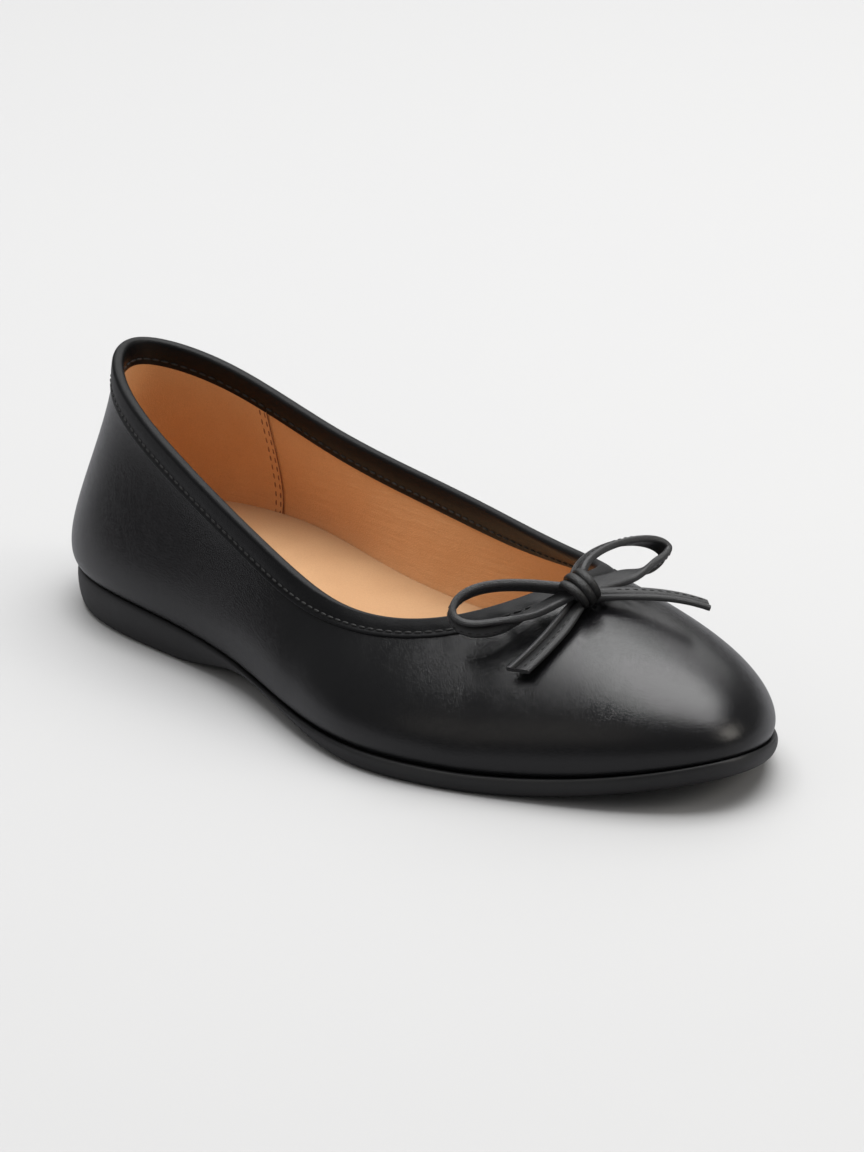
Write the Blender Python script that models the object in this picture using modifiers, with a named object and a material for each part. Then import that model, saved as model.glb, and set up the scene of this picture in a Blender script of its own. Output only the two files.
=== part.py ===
"""Ballet flat for the right foot: moulded sole, lasted upper, collar binding, insole and bow.

The toe points along +X, the medial side is +Y and the floor is z = 0. Lengths are in metres.
"""

from math import comb
from typing import NamedTuple

import bmesh
import bpy
import numpy as np

# Driving sizes of the shoe
SHOE_LENGTH = 0.250
BALL_WIDTH = 0.0865
COLLAR_HEIGHT = 0.0615

# Moulded sole
HEEL_THICKNESS = 0.0115
FOREPART_THICKNESS = 0.0063
TOE_SPRING = 0.0075
ARCH_LIFT_LATERAL = 0.0034
ARCH_LIFT_MEDIAL = 0.0070
LIP_HEIGHT = 0.0011
LIP_WIDTH = 0.0013

# Upper, lining and insole
UPPER_WALL = 0.0018
SEAM_INSET = 0.0034
SWELL = 0.0100
INSOLE_THICKNESS = 0.0062

# Collar binding
TAPE_THICKNESS = 0.0010
TAPE_DEPTH = 0.0068

# Bow of folded strap
STRAP_WIDTH = 0.0038
STRAP_THICKNESS = 0.0018
STRAP_BEVEL = 0.0005
KNOT_RADIUS = 0.0038
KNOT_HALF_LENGTH = 0.0036
LOOP_REACH = 0.0320
TAIL_REACH = 0.0200

# Air left between two pieces that touch on the real shoe
GAP = 0.0003

# Fineness of the meshes: rows crowd towards the sole seam, where the wall bends most
RING_POINTS = 96
RIB_SAMPLES = 48
UPPER_ROWS = 12
ROW_CROWDING = 1.7
LOOP_STEPS = 26
TAIL_STEPS = 10
KNOT_SIDES = 16
SHARP_ANGLE = 0.6

# Heights up the insole's rim, as shares of its thickness
INSOLE_RIM = (0.6, 0.85, 1.0)

# How round the binding's crest is: the share of its half width kept near the top
CREST_SHOULDER = 0.75

# Taper of a loop where it runs into the knot, the spread that gives its full opening, and the
# slant of a tail's cut end
LOOP_TAPER = 0.75
LOOP_SPREAD = 0.7
TAIL_SLANT = 0.5

# Place of the knot, as a share of the way round the ring from the heel's back
KNOT_TURN = 0.4913

# Where the underside leaves and meets the floor, as shares of the length
HEEL_BREAST = 0.335
ARCH_PEAK = 0.470
TREAD_START = 0.690
TREAD_END = 0.780
# Where the top edge of the sole starts and stops falling, as shares of the length
SEAT_END = 0.170
FOREPART_START = 0.620


class Rib(NamedTuple):
    """One line of the upper, from the sole seam up to the crest of the collar.

    The foot and the top are shares of the length (along) and of the ball width (across, medial
    positive), and top_height is a share of the collar height. The last five columns shape the
    curve: tuck and swell push it outwards, in seam insets and in SWELL, swell_height is a share
    of the rise, and run and drop set how it reaches the crest, as shares of span and rise.
    """

    where: str
    foot_along: float
    foot_across: float
    top_along: float
    top_across: float
    top_height: float
    tuck: float
    swell: float
    swell_height: float
    run: float
    drop: float


RIBS = (
    Rib("heel back", 0.000, 0.038, 0.038, 0.036, 1.012, 2.30, 0.42, 0.23, 0.08, 0.34),
    Rib("lateral heel", 0.088, -0.287, 0.112, -0.162, 0.952, 2.30, 0.42, 0.23, 0.15, 0.34),
    Rib("lateral seat", 0.248, -0.370, 0.264, -0.276, 0.812, 2.20, 0.44, 0.28, 0.18, 0.34),
    Rib("lateral waist", 0.432, -0.397, 0.432, -0.326, 0.632, 1.90, 0.40, 0.32, 0.20, 0.32),
    Rib("lateral ball", 0.660, -0.514, 0.592, -0.327, 0.508, 1.50, 0.28, 0.46, 0.42, 0.26),
    Rib("lateral toe", 0.856, -0.331, 0.712, -0.200, 0.565, 1.70, 0.22, 0.56, 0.42, 0.22),
    Rib("toe", 1.000, 0.034, 0.760, 0.034, 0.670, 2.10, 0.26, 0.58, 0.44, 0.20),
    Rib("medial toe", 0.912, 0.411, 0.736, 0.207, 0.660, 1.80, 0.24, 0.56, 0.42, 0.22),
    Rib("medial ball", 0.728, 0.486, 0.640, 0.308, 0.610, 1.50, 0.28, 0.48, 0.36, 0.26),
    Rib("medial waist", 0.448, 0.305, 0.448, 0.362, 0.632, 1.90, 0.42, 0.36, 0.20, 0.32),
    Rib("medial seat", 0.248, 0.316, 0.264, 0.313, 0.738, 2.20, 0.44, 0.30, 0.18, 0.34),
    Rib("medial heel", 0.088, 0.291, 0.112, 0.225, 0.915, 2.30, 0.42, 0.23, 0.15, 0.34),
)


class Loop(NamedTuple):
    """A loop of the bow, from the knot's centre to its far end, in shares of LOOP_REACH."""

    name: str
    forward: float
    medial: float
    up: float
    opening: float


LOOPS = (
    Loop("bow_loop_lateral", -0.45, -0.82, -0.08, 0.325),
    Loop("bow_loop_medial", -0.28, 0.99, 0.09, 0.275),
)


class Station(NamedTuple):
    """A pole of a tail's curve over the upper, counted from the knot.

    turn is a share of the ring, down is a share of TAIL_REACH, and lift counts strap thicknesses.
    """

    where: str
    turn: float
    down: float
    lift: float


TAILS = {
    "bow_tail_lateral": (
        Station("knot", -0.0112, 0.18, 1.9),
        Station("upper third", -0.031, 0.40, 1.9),
        Station("lower third", -0.046, 0.56, 1.6),
        Station("end", -0.061, 0.76, 1.4),
    ),
    "bow_tail_medial": (
        Station("knot", 0.0112, 0.12, 1.4),
        Station("upper third", 0.038, 0.38, 2.3),
        Station("lower third", 0.055, 0.69, 3.3),
        Station("end", 0.068, 1.00, 3.5),
    ),
}


class Turn(NamedTuple):
    """A place on the knot's profile, in shares of its half length and radius."""

    along: float
    radius: float


TURNS = (
    Turn(1.00, 0.00),
    Turn(1.00, 0.62),
    Turn(0.93, 0.86),
    Turn(0.68, 1.00),
    Turn(0.36, 0.90),
    Turn(0.00, 1.06),
    Turn(-0.36, 0.90),
    Turn(-0.68, 1.00),
    Turn(-0.93, 0.86),
    Turn(-1.00, 0.62),
    Turn(-1.00, 0.00),
)


class Level(NamedTuple):
    """A line round the sole: inset in rim widths, height as a share of its thickness.

    lift is added in rim heights.
    """

    where: str
    inset: float
    height: float
    lift: float


LEVELS = (
    Level("tread", 1.5, 0.00, 0.0),
    Level("tread edge", 0.6, 0.06, 0.0),
    Level("lower side", 0.15, 0.26, 0.0),
    Level("upper side", 0.0, 0.70, 0.0),
    Level("rim edge", 0.25, 1.00, -0.2),
    Level("rim top", 0.6, 1.00, 0.0),
    Level("rim inside", 1.2, 1.00, -0.2),
    Level("floor", 1.7, 1.00, -1.0),
)


def ring_spline(values, count):
    """Smooth closed curve through evenly spaced knots, read at count points."""
    knots = np.asarray(values, float)
    n = len(knots)
    before, after = np.roll(knots, 1, axis=0), np.roll(knots, -1, axis=0)
    links = 4 * np.eye(n) + np.roll(np.eye(n), 1, axis=0) + np.roll(np.eye(n), -1, axis=0)
    bend = np.linalg.solve(links, 6 * (before - 2 * knots + after))
    place = np.arange(count) * n / count
    left = place.astype(int)
    right = (left + 1) % n
    b = (place - left).reshape((-1,) + (1,) * (knots.ndim - 1))
    a = 1 - b
    return (
        a * knots[left]
        + b * knots[right]
        + (a**3 - a) * bend[left] / 6
        + (b**3 - b) * bend[right] / 6
    )


def bezier(poles, count):
    """Points along the Bezier curve of these poles."""
    t = np.linspace(0, 1, count)[:, None]
    degree = len(poles) - 1
    return sum(
        comb(degree, k) * (1 - t) ** (degree - k) * t**k * pole for k, pole in enumerate(poles)
    )


def ease(value, start, end):
    """0 before start, 1 after end, and a smooth step between them."""
    share = np.clip((value - start) / (end - start), 0, 1)
    return share * share * (3 - 2 * share)


def unit(vectors):
    return vectors / np.linalg.norm(vectors, axis=-1, keepdims=True)


def column(name):
    return [getattr(rib, name) for rib in RIBS]


def heel_outline():
    """The widest line of the sole seen from above, counted from the back of the heel."""
    shares = np.column_stack([column("foot_along"), column("foot_across")])
    return ring_spline(shares, RING_POINTS) * (SHOE_LENGTH, BALL_WIDTH)


def outline_centre():
    line = heel_outline()
    return (line.min(axis=0) + line.max(axis=0)) / 2


def outline():
    """The same line, centred on its own box."""
    return heel_outline() - outline_centre()


def outward(line):
    """Unit normals of a closed line in plan that runs anticlockwise, pointing out of it."""
    along = unit(np.roll(line, -1, axis=0) - np.roll(line, 1, axis=0))
    return np.column_stack([along[:, 1], -along[:, 0]])


def along_share(x):
    return (x + outline_centre()[0]) / SHOE_LENGTH


def spring(share):
    """Height that the toe end gains over the tread, growing with the square of the distance."""
    return TOE_SPRING * (np.clip(share - TREAD_END, 0, None) / (1 - TREAD_END)) ** 2


def underside(x, y):
    """Height of the sole's underside: flat under heel and ball, lifted at arch and toe."""
    share = along_share(x)
    side = np.clip(y / BALL_WIDTH + 0.5, 0, 1)
    lift = ARCH_LIFT_LATERAL + (ARCH_LIFT_MEDIAL - ARCH_LIFT_LATERAL) * side
    rise = ease(share, HEEL_BREAST, ARCH_PEAK) * (1 - ease(share, ARCH_PEAK, TREAD_START))
    return lift * rise + spring(share)


def sole_edge(x):
    """Height of the top of the sole's rim."""
    share = along_share(x)
    fall = ease(share, SEAT_END, FOREPART_START)
    return HEEL_THICKNESS + (FOREPART_THICKNESS - HEEL_THICKNESS) * fall + spring(share)


def sole_floor(x):
    """Height of the sole's top surface inside its rim."""
    return sole_edge(x) - LIP_HEIGHT


def rib_curves():
    """The upper's outer face as [rib, sample, xyz], sampled evenly from seam to crest."""
    line = outline()
    normal = outward(line)
    foot_plan = line - normal * SEAM_INSET
    foot = np.column_stack([foot_plan, sole_floor(foot_plan[:, 0]) + GAP])
    shares = np.column_stack([column("top_along"), column("top_across"), column("top_height")])
    top = ring_spline(shares, RING_POINTS) * (SHOE_LENGTH, BALL_WIDTH, COLLAR_HEIGHT)
    top[:, :2] -= outline_centre()
    shape = np.column_stack([column(name) for name in Rib._fields[6:]])
    tuck, swell, swell_height, run, drop = ring_spline(shape, RING_POINTS).T[:, :, None]
    out = np.column_stack([normal, np.zeros(RING_POINTS)])
    rise = (top[:, 2] - foot[:, 2])[:, None] * (0, 0, 1)
    span = (foot - top) * (1, 1, 0)
    poles = (
        foot,
        foot + out * tuck * SEAM_INSET + rise * swell_height / 8,
        foot + out * (SEAM_INSET + swell * SWELL) + rise * swell_height,
        top + span * run - rise * drop,
        top,
    )
    dense = np.array([bezier(rib, 4 * RIB_SAMPLES) for rib in np.stack(poles, axis=1)])
    return np.array([evenly(curve, RIB_SAMPLES) for curve in dense])


def evenly(curve, count):
    """The same curve with its points the same distance apart."""
    steps = np.linalg.norm(np.diff(curve, axis=0), axis=1)
    travelled = np.concatenate([[0], np.cumsum(steps)])
    wanted = np.linspace(0, travelled[-1], count)
    return np.column_stack([np.interp(wanted, travelled, axis) for axis in curve.T])


class Wall:
    """The upper's outer face, which also places everything that lies on or inside it."""

    def __init__(self):
        self.points = rib_curves()
        across = np.roll(self.points, -1, axis=0) - np.roll(self.points, 1, axis=0)
        up = np.gradient(self.points, axis=1)
        self.normals = unit(np.cross(across, up))
        steps = np.linalg.norm(np.diff(self.points, axis=1), axis=2)
        self.lengths = steps.sum(axis=1)

    def ring(self, samples, offset=0.0):
        """Closed ring at these places along the ribs, moved out by offset."""
        low = np.clip(samples.astype(int), 0, RIB_SAMPLES - 2)
        part = (samples - low)[:, None]
        rib = np.arange(RING_POINTS)
        point = self.points[rib, low] * (1 - part) + self.points[rib, low + 1] * part
        normal = self.normals[rib, low] * (1 - part) + self.normals[rib, low + 1] * part
        return point + unit(normal) * offset

    def below_crest(self, distance, offset=0.0):
        share = 1 - distance / self.lengths
        return self.ring(share * (RIB_SAMPLES - 1), offset)

    def above(self, turn, below, lift):
        """The point this far below the crest and off the face, at a share of the ring."""
        ring = self.below_crest(below, lift)
        low, part = divmod(turn * RING_POINTS, 1)
        return ring[int(low)] * (1 - part) + ring[int(low) + 1] * part

    def up_the_wall(self, share, offset=0.0):
        """Ring at a share of the way from the seam to the cut edge under the binding."""
        edge = 1 - (TAPE_THICKNESS + GAP) / self.lengths
        return self.ring(share * edge * (RIB_SAMPLES - 1), offset)

    def at_height(self, above_floor, offset):
        """Ring where the offset wall is this high above the sole's floor."""
        moved = self.points + self.normals * offset
        height = moved[:, :, 2] - sole_floor(moved[:, :, 0])
        place = [np.interp(above_floor, row, np.arange(RIB_SAMPLES)) for row in height]
        return self.ring(np.array(place), offset)


def loft(name, rings, material, closed=False, caps=None):
    """A mesh object through rings of equal count: closed on itself, capped, or left open."""
    mesh = bmesh.new()
    rows = [[mesh.verts.new(point) for point in ring] for ring in rings]
    pairs = list(zip(rows, rows[1:]))
    if closed:
        pairs.append((rows[-1], rows[0]))
    for low, high in pairs:
        for k in range(len(low)):
            after = (k + 1) % len(low)
            mesh.faces.new((low[k], low[after], high[after], high[k]))
    if caps:
        caps(mesh, rows[0])
        caps(mesh, rows[-1])
    bmesh.ops.recalc_face_normals(mesh, faces=mesh.faces)
    data = bpy.data.meshes.new(name)
    mesh.to_mesh(data)
    mesh.free()
    data.shade_smooth()
    data.set_sharp_from_angle(angle=SHARP_ANGLE)
    data.materials.append(material)
    piece = bpy.data.objects.new(name, data)
    shoe_parts().objects.link(piece)
    return piece


def ladder_cap(mesh, row):
    """Closes a ring with strips from its lateral side to its medial side."""
    count = len(row)
    for k in range(count // 2):
        corners = [row[k], row[k + 1], row[(count - k - 1) % count], row[(count - k) % count]]
        mesh.faces.new(list(dict.fromkeys(corners)))


def fan_cap(mesh, row):
    mesh.faces.new(row)


def shoe_parts():
    found = bpy.data.collections.get("ballet_flat")
    if found is None:
        found = bpy.data.collections.new("ballet_flat")
        bpy.context.scene.collection.children.link(found)
    return found


def finish(name, colour, roughness):
    material = bpy.data.materials.new(name)
    material.use_nodes = True
    shader = material.node_tree.nodes["Principled BSDF"]
    shader.inputs["Base Color"].default_value = (*colour, 1)
    shader.inputs["Roughness"].default_value = roughness
    shader.inputs["Metallic"].default_value = 0
    return material


def make_outsole(material):
    """Moulded sole with its heel: a flat tread, a rounded side and a rim round the upper."""
    line = outline()
    normal = outward(line)
    rings = []
    for level in LEVELS:
        plan = line - normal * level.inset * LIP_WIDTH
        low = underside(plan[:, 0], plan[:, 1])
        high = sole_edge(plan[:, 0])
        height = low + (high - low) * level.height + level.lift * LIP_HEIGHT
        rings.append(np.column_stack([plan, height]))
    return loft("outsole", rings, material, caps=ladder_cap)


def make_upper(wall, material):
    """One hollow wall, open at the collar and underneath, from the seam to the binding."""
    rings = [wall.up_the_wall(share) for share in np.linspace(0, 1, UPPER_ROWS) ** ROW_CROWDING]
    upper = loft("upper", rings, material)
    shell = upper.modifiers.new("wall", "SOLIDIFY")
    shell.thickness = UPPER_WALL
    shell.offset = -1
    shell.use_even_offset = True
    shell.use_quality_normals = True
    return upper


def make_insole(wall, material):
    """Board and sock as one layer, which fills the bottom inside the upper."""
    clear = -(UPPER_WALL + 2 * GAP)
    bend = wall.up_the_wall(0.0, clear - GAP)
    foot = bend.copy()
    foot[:, 2] = sole_floor(foot[:, 0]) + GAP
    rings = [foot, bend]
    for share in INSOLE_RIM:
        rings.append(wall.at_height(INSOLE_THICKNESS * share, clear))
    return loft("insole", rings, material, caps=ladder_cap)


def make_binding(wall, material):
    """Tape folded over the collar's edge, down both faces of the wall."""
    outer = GAP + TAPE_THICKNESS
    inner = -(UPPER_WALL + GAP + TAPE_THICKNESS)
    middle = -UPPER_WALL / 2

    def face(share, offset):
        return wall.below_crest(TAPE_DEPTH * share, offset)

    rings = [
        face(1.0, outer),
        wall.below_crest(TAPE_THICKNESS, outer),
        wall.below_crest(TAPE_THICKNESS / 4, middle + (outer - middle) * CREST_SHOULDER),
        wall.below_crest(0.0, middle),
        wall.below_crest(TAPE_THICKNESS / 4, middle + (inner - middle) * CREST_SHOULDER),
        wall.below_crest(TAPE_THICKNESS, inner),
        face(1.0, inner),
        face(1.0, -(UPPER_WALL + GAP)),
        wall.below_crest(TAPE_THICKNESS, -(UPPER_WALL + GAP)),
        wall.below_crest(TAPE_THICKNESS, GAP),
        face(1.0, GAP),
    ]
    return loft("collar_binding", rings, material, closed=True)


def sweep(name, path, width_axis, material, slant=0.0):
    """A strap along path: width_axis gives its broad direction, and slant skews its far end."""
    along = unit(np.gradient(path, axis=0))
    broad = unit(width_axis - along * np.sum(width_axis * along, axis=1, keepdims=True))
    thin = np.cross(along, broad)
    half, thick, bevel = STRAP_WIDTH / 2, STRAP_THICKNESS / 2, STRAP_BEVEL
    corner = ((half, thick - bevel), (half - bevel, thick))
    section = [
        *corner,
        *((-x, y) for x, y in reversed(corner)),
        *((-x, -y) for x, y in corner),
        *((x, -y) for x, y in reversed(corner)),
    ]
    rings = []
    for k, centre in enumerate(path):
        skew = slant if k == len(path) - 1 else 0.0
        rings.append([centre + broad[k] * x + thin[k] * y + along[k] * x * skew for x, y in section])
    return loft(name, rings, material, caps=fan_cap)


def knot_place(wall):
    """The knot rests on the upper, just in front of the binding, and this far below the crest."""
    below = TAPE_DEPTH + KNOT_RADIUS + GAP
    lift = KNOT_RADIUS * max(turn.radius for turn in TURNS) + GAP
    return below, wall.above(KNOT_TURN, below, lift)


def make_loop(wall, loop, material):
    """A teardrop of strap that leans back against the throat."""
    reach = np.array((loop.forward, loop.medial, loop.up)) * LOOP_REACH
    length = np.linalg.norm(reach)
    axis = reach / length
    lean = unit(np.array([-1.0, 0.0, 1.0]))
    upright = unit(lean - axis * (lean @ axis))
    start = (KNOT_HALF_LENGTH + 5 * GAP) / length
    widest = np.arccos(2 * start - 1)
    swing = np.linspace(-widest, widest, LOOP_STEPS)[:, None]
    share = (1 + np.cos(swing)) / 2
    path = knot_place(wall)[1] + axis * length * share
    opening = LOOP_REACH * loop.opening * LOOP_SPREAD
    path = path + upright * opening * np.sin(swing) * share**LOOP_TAPER
    return sweep(loop.name, path, np.cross(axis, upright), material)


def make_tail(wall, name, stations, material):
    """A free end of the strap, cut at a slant, which follows the upper at some height."""
    below = knot_place(wall)[0]
    over, under = (
        bezier(
            [
                wall.above(
                    KNOT_TURN + station.turn,
                    below + station.down * TAIL_REACH,
                    station.lift * STRAP_THICKNESS * raised,
                )
                for station in stations
            ],
            TAIL_STEPS,
        )
        for raised in (1, 0)
    )
    broad = np.cross(np.gradient(over, axis=0), over - under)
    return sweep(name, over, broad, material, slant=TAIL_SLANT)


def make_knot(wall, material):
    """Three turns of the strap round the middle of the bow, as one ridged barrel."""
    profile = [(turn.radius * KNOT_RADIUS, 0, turn.along * KNOT_HALF_LENGTH) for turn in TURNS]
    edges = [(k, k + 1) for k in range(len(profile) - 1)]
    data = bpy.data.meshes.new("bow_knot")
    data.from_pydata(profile, edges, [])
    data.materials.append(material)
    knot = bpy.data.objects.new("bow_knot", data)
    shoe_parts().objects.link(knot)
    knot.location = knot_place(wall)[1]
    knot.rotation_euler = (np.pi / 2, 0, 0)
    spin = knot.modifiers.new("turns", "SCREW")
    spin.axis = "Z"
    spin.steps = spin.render_steps = KNOT_SIDES
    spin.use_merge_vertices = True
    spin.merge_threshold = 0.00005
    spin.use_smooth_shade = True
    return knot


def main():
    for item in list(bpy.data.objects):
        bpy.data.objects.remove(item)
    rubber = finish("black_rubber", (0.020, 0.020, 0.022), 0.55)
    leather = finish("black_leather", (0.012, 0.012, 0.014), 0.36)
    sock = finish("tan_sock", (0.62, 0.36, 0.17), 0.60)
    wall = Wall()
    make_outsole(rubber)
    make_upper(wall, leather)
    make_insole(wall, sock)
    make_binding(wall, leather)
    make_knot(wall, leather)
    for loop in LOOPS:
        make_loop(wall, loop, leather)
    for name, stations in TAILS.items():
        make_tail(wall, name, stations, leather)


if __name__ == "__main__":
    main()
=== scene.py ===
"""Looks of a ballet flat for the right foot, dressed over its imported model.

Lengths are in metres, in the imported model's frame: the toe points along +X, the medial side is +Y
and the floor is z = 0. A place on the upper is a turn, the share of the way round from the back
of the heel by the lateral side, with a share of the way up from the sole seam or a distance below
the crest of the collar. A lift is a distance off the upper's outer face.
"""

import logging
from collections.abc import Callable
from dataclasses import astuple, dataclass, field
from enum import Enum
from math import comb, cos, pi, radians, sin

import bmesh
import bpy
import numpy as np
from mathutils import Matrix, Vector


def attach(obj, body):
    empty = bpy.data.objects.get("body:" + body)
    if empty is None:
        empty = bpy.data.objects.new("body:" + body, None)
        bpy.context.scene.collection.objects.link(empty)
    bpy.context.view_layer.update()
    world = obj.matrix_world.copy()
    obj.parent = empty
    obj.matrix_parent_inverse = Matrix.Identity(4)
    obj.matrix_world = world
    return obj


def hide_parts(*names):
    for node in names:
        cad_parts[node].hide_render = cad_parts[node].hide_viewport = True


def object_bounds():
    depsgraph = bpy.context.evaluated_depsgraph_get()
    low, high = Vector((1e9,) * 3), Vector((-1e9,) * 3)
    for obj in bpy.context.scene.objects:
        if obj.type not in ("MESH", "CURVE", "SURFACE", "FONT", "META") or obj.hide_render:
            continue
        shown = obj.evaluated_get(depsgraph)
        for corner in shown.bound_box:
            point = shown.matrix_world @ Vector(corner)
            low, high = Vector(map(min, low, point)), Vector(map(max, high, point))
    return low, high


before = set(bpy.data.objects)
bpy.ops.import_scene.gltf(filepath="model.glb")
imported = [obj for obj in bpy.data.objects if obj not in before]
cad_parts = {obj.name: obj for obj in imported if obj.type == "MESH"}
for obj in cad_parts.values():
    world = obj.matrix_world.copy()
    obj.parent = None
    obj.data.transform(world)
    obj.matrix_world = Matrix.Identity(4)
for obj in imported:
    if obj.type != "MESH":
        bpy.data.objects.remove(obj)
CAD_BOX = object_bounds()

LOG = logging.getLogger("ballet_flat")
MM = 0.001
MERGE = 1e-6
BODY = "root"
PHOTO_HEADING = 53.645
TAPE_DEPTH = 0.0068

Array = np.ndarray
Colour = tuple[float, float, float]


def ring_spline(values: Array, count: int) -> Array:
    """Smooth closed curve through evenly spaced knots.

    Args:
        values: the knots, one row each.
        count: how many points to read along the whole curve.

    Returns:
        The points, one row each.
    """
    knots = np.asarray(values, float)
    n = len(knots)
    before, after = np.roll(knots, 1, axis=0), np.roll(knots, -1, axis=0)
    links = 4 * np.eye(n) + np.roll(np.eye(n), 1, axis=0) + np.roll(np.eye(n), -1, axis=0)
    bend = np.linalg.solve(links, 6 * (before - 2 * knots + after))
    place = np.arange(count) * n / count
    left = place.astype(int)
    right = (left + 1) % n
    b = (place - left).reshape((-1,) + (1,) * (knots.ndim - 1))
    a = 1 - b
    curve = a * knots[left] + b * knots[right]
    return curve + (a**3 - a) * bend[left] / 6 + (b**3 - b) * bend[right] / 6


def bezier(poles: Array, count: int) -> Array:
    """Bezier curve.

    Args:
        poles: its poles, one row each, or a stack of them with the poles first.
        count: how many points to read.

    Returns:
        The points, counted along the first axis.
    """
    t = np.linspace(0, 1, count)
    degree = len(poles) - 1
    terms = range(degree + 1)
    weights = np.array([comb(degree, k) * (1 - t) ** (degree - k) * t**k for k in terms])
    return np.tensordot(weights, np.asarray(poles), axes=(0, 0))


def ease(value: Array, start: float, end: float) -> Array:
    """0 before start, 1 after end, and a smooth step between them."""
    share = np.clip((value - start) / (end - start), 0, 1)
    return share * share * (3 - 2 * share)


def hump(value: Array, middle: float, half_width: float) -> Array:
    """A soft bell that is 1 at middle and nearly 0 at twice the half width."""
    return np.exp(-(((value - middle) / half_width) ** 2))


def unit(vectors: Array) -> Array:
    """The same vectors with length 1."""
    return vectors / np.linalg.norm(vectors, axis=-1, keepdims=True)


def travelled(path: Array) -> Array:
    """Distance along a path to each of its points."""
    steps = np.linalg.norm(np.diff(path, axis=0), axis=1)
    return np.concatenate([[0], np.cumsum(steps)])


def read_along(rows: Array, gone: Array, wanted: Array) -> Array:
    """Reads the rows kept at the distances gone at the wanted distances."""
    return np.column_stack([np.interp(wanted, gone, column) for column in rows.T])


def rounded(corners: Array, rounds: int = 2, closed: bool = False) -> Array:
    """Cuts each corner of a line at a quarter of its sides, again and again.

    Args:
        corners: the line's points, one row each.
        rounds: how often the corners are cut.
        closed: whether the last point joins the first.

    Returns:
        The rounded line's points.
    """
    line = np.asarray(corners, float)
    for _ in range(rounds):
        ahead = np.roll(line, -1, axis=0) if closed else line[1:]
        here = line if closed else line[:-1]
        cut = np.stack([0.75 * here + 0.25 * ahead, 0.25 * here + 0.75 * ahead], axis=1)
        cut = cut.reshape(-1, line.shape[1])
        line = cut if closed else np.vstack([line[:1], cut, line[-1:]])
    return line


def closed_ring(ring: Array, axis: int = 0) -> Array:
    """The same ring with its first place again at its end."""
    first = np.take(ring, [0], axis=axis)
    return np.concatenate([ring, first], axis=axis)


class Side(Enum):
    """Side of the foot."""

    LATERAL = -1
    MEDIAL = 1


@dataclass(frozen=True)
class Rib:
    """One line of the upper, from the sole seam up to the crest of the collar.

    The foot and the top are shares of the length (along) and of the ball width (across, medial
    positive), and top_height is a share of the collar height. The last five shape the curve: tuck
    and swell push it outwards, in seam insets and in the last's swell, swell_height is a share of
    the rise, and run and drop set how it reaches the crest, as shares of span and rise.
    """

    foot_along: float
    foot_across: float
    top_along: float
    top_across: float
    top_height: float
    tuck: float
    swell: float
    swell_height: float
    run: float
    drop: float


RIBS = (
    Rib(0.000, 0.038, 0.038, 0.036, 1.012, 2.30, 0.42, 0.23, 0.08, 0.34),
    Rib(0.088, -0.287, 0.112, -0.162, 0.952, 2.30, 0.42, 0.23, 0.15, 0.34),
    Rib(0.248, -0.370, 0.264, -0.276, 0.812, 2.20, 0.44, 0.28, 0.18, 0.34),
    Rib(0.432, -0.397, 0.432, -0.326, 0.632, 1.90, 0.40, 0.32, 0.20, 0.32),
    Rib(0.660, -0.514, 0.592, -0.327, 0.508, 1.50, 0.28, 0.46, 0.42, 0.26),
    Rib(0.856, -0.331, 0.712, -0.200, 0.565, 1.70, 0.22, 0.56, 0.42, 0.22),
    Rib(1.000, 0.034, 0.760, 0.034, 0.670, 2.10, 0.26, 0.58, 0.44, 0.20),
    Rib(0.912, 0.411, 0.736, 0.207, 0.660, 1.80, 0.24, 0.56, 0.42, 0.22),
    Rib(0.728, 0.486, 0.640, 0.308, 0.610, 1.50, 0.28, 0.48, 0.36, 0.26),
    Rib(0.448, 0.305, 0.448, 0.362, 0.632, 1.90, 0.42, 0.36, 0.20, 0.32),
    Rib(0.248, 0.316, 0.264, 0.313, 0.738, 2.20, 0.44, 0.30, 0.18, 0.34),
    Rib(0.088, 0.291, 0.112, 0.225, 0.915, 2.30, 0.42, 0.23, 0.15, 0.34),
)


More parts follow.
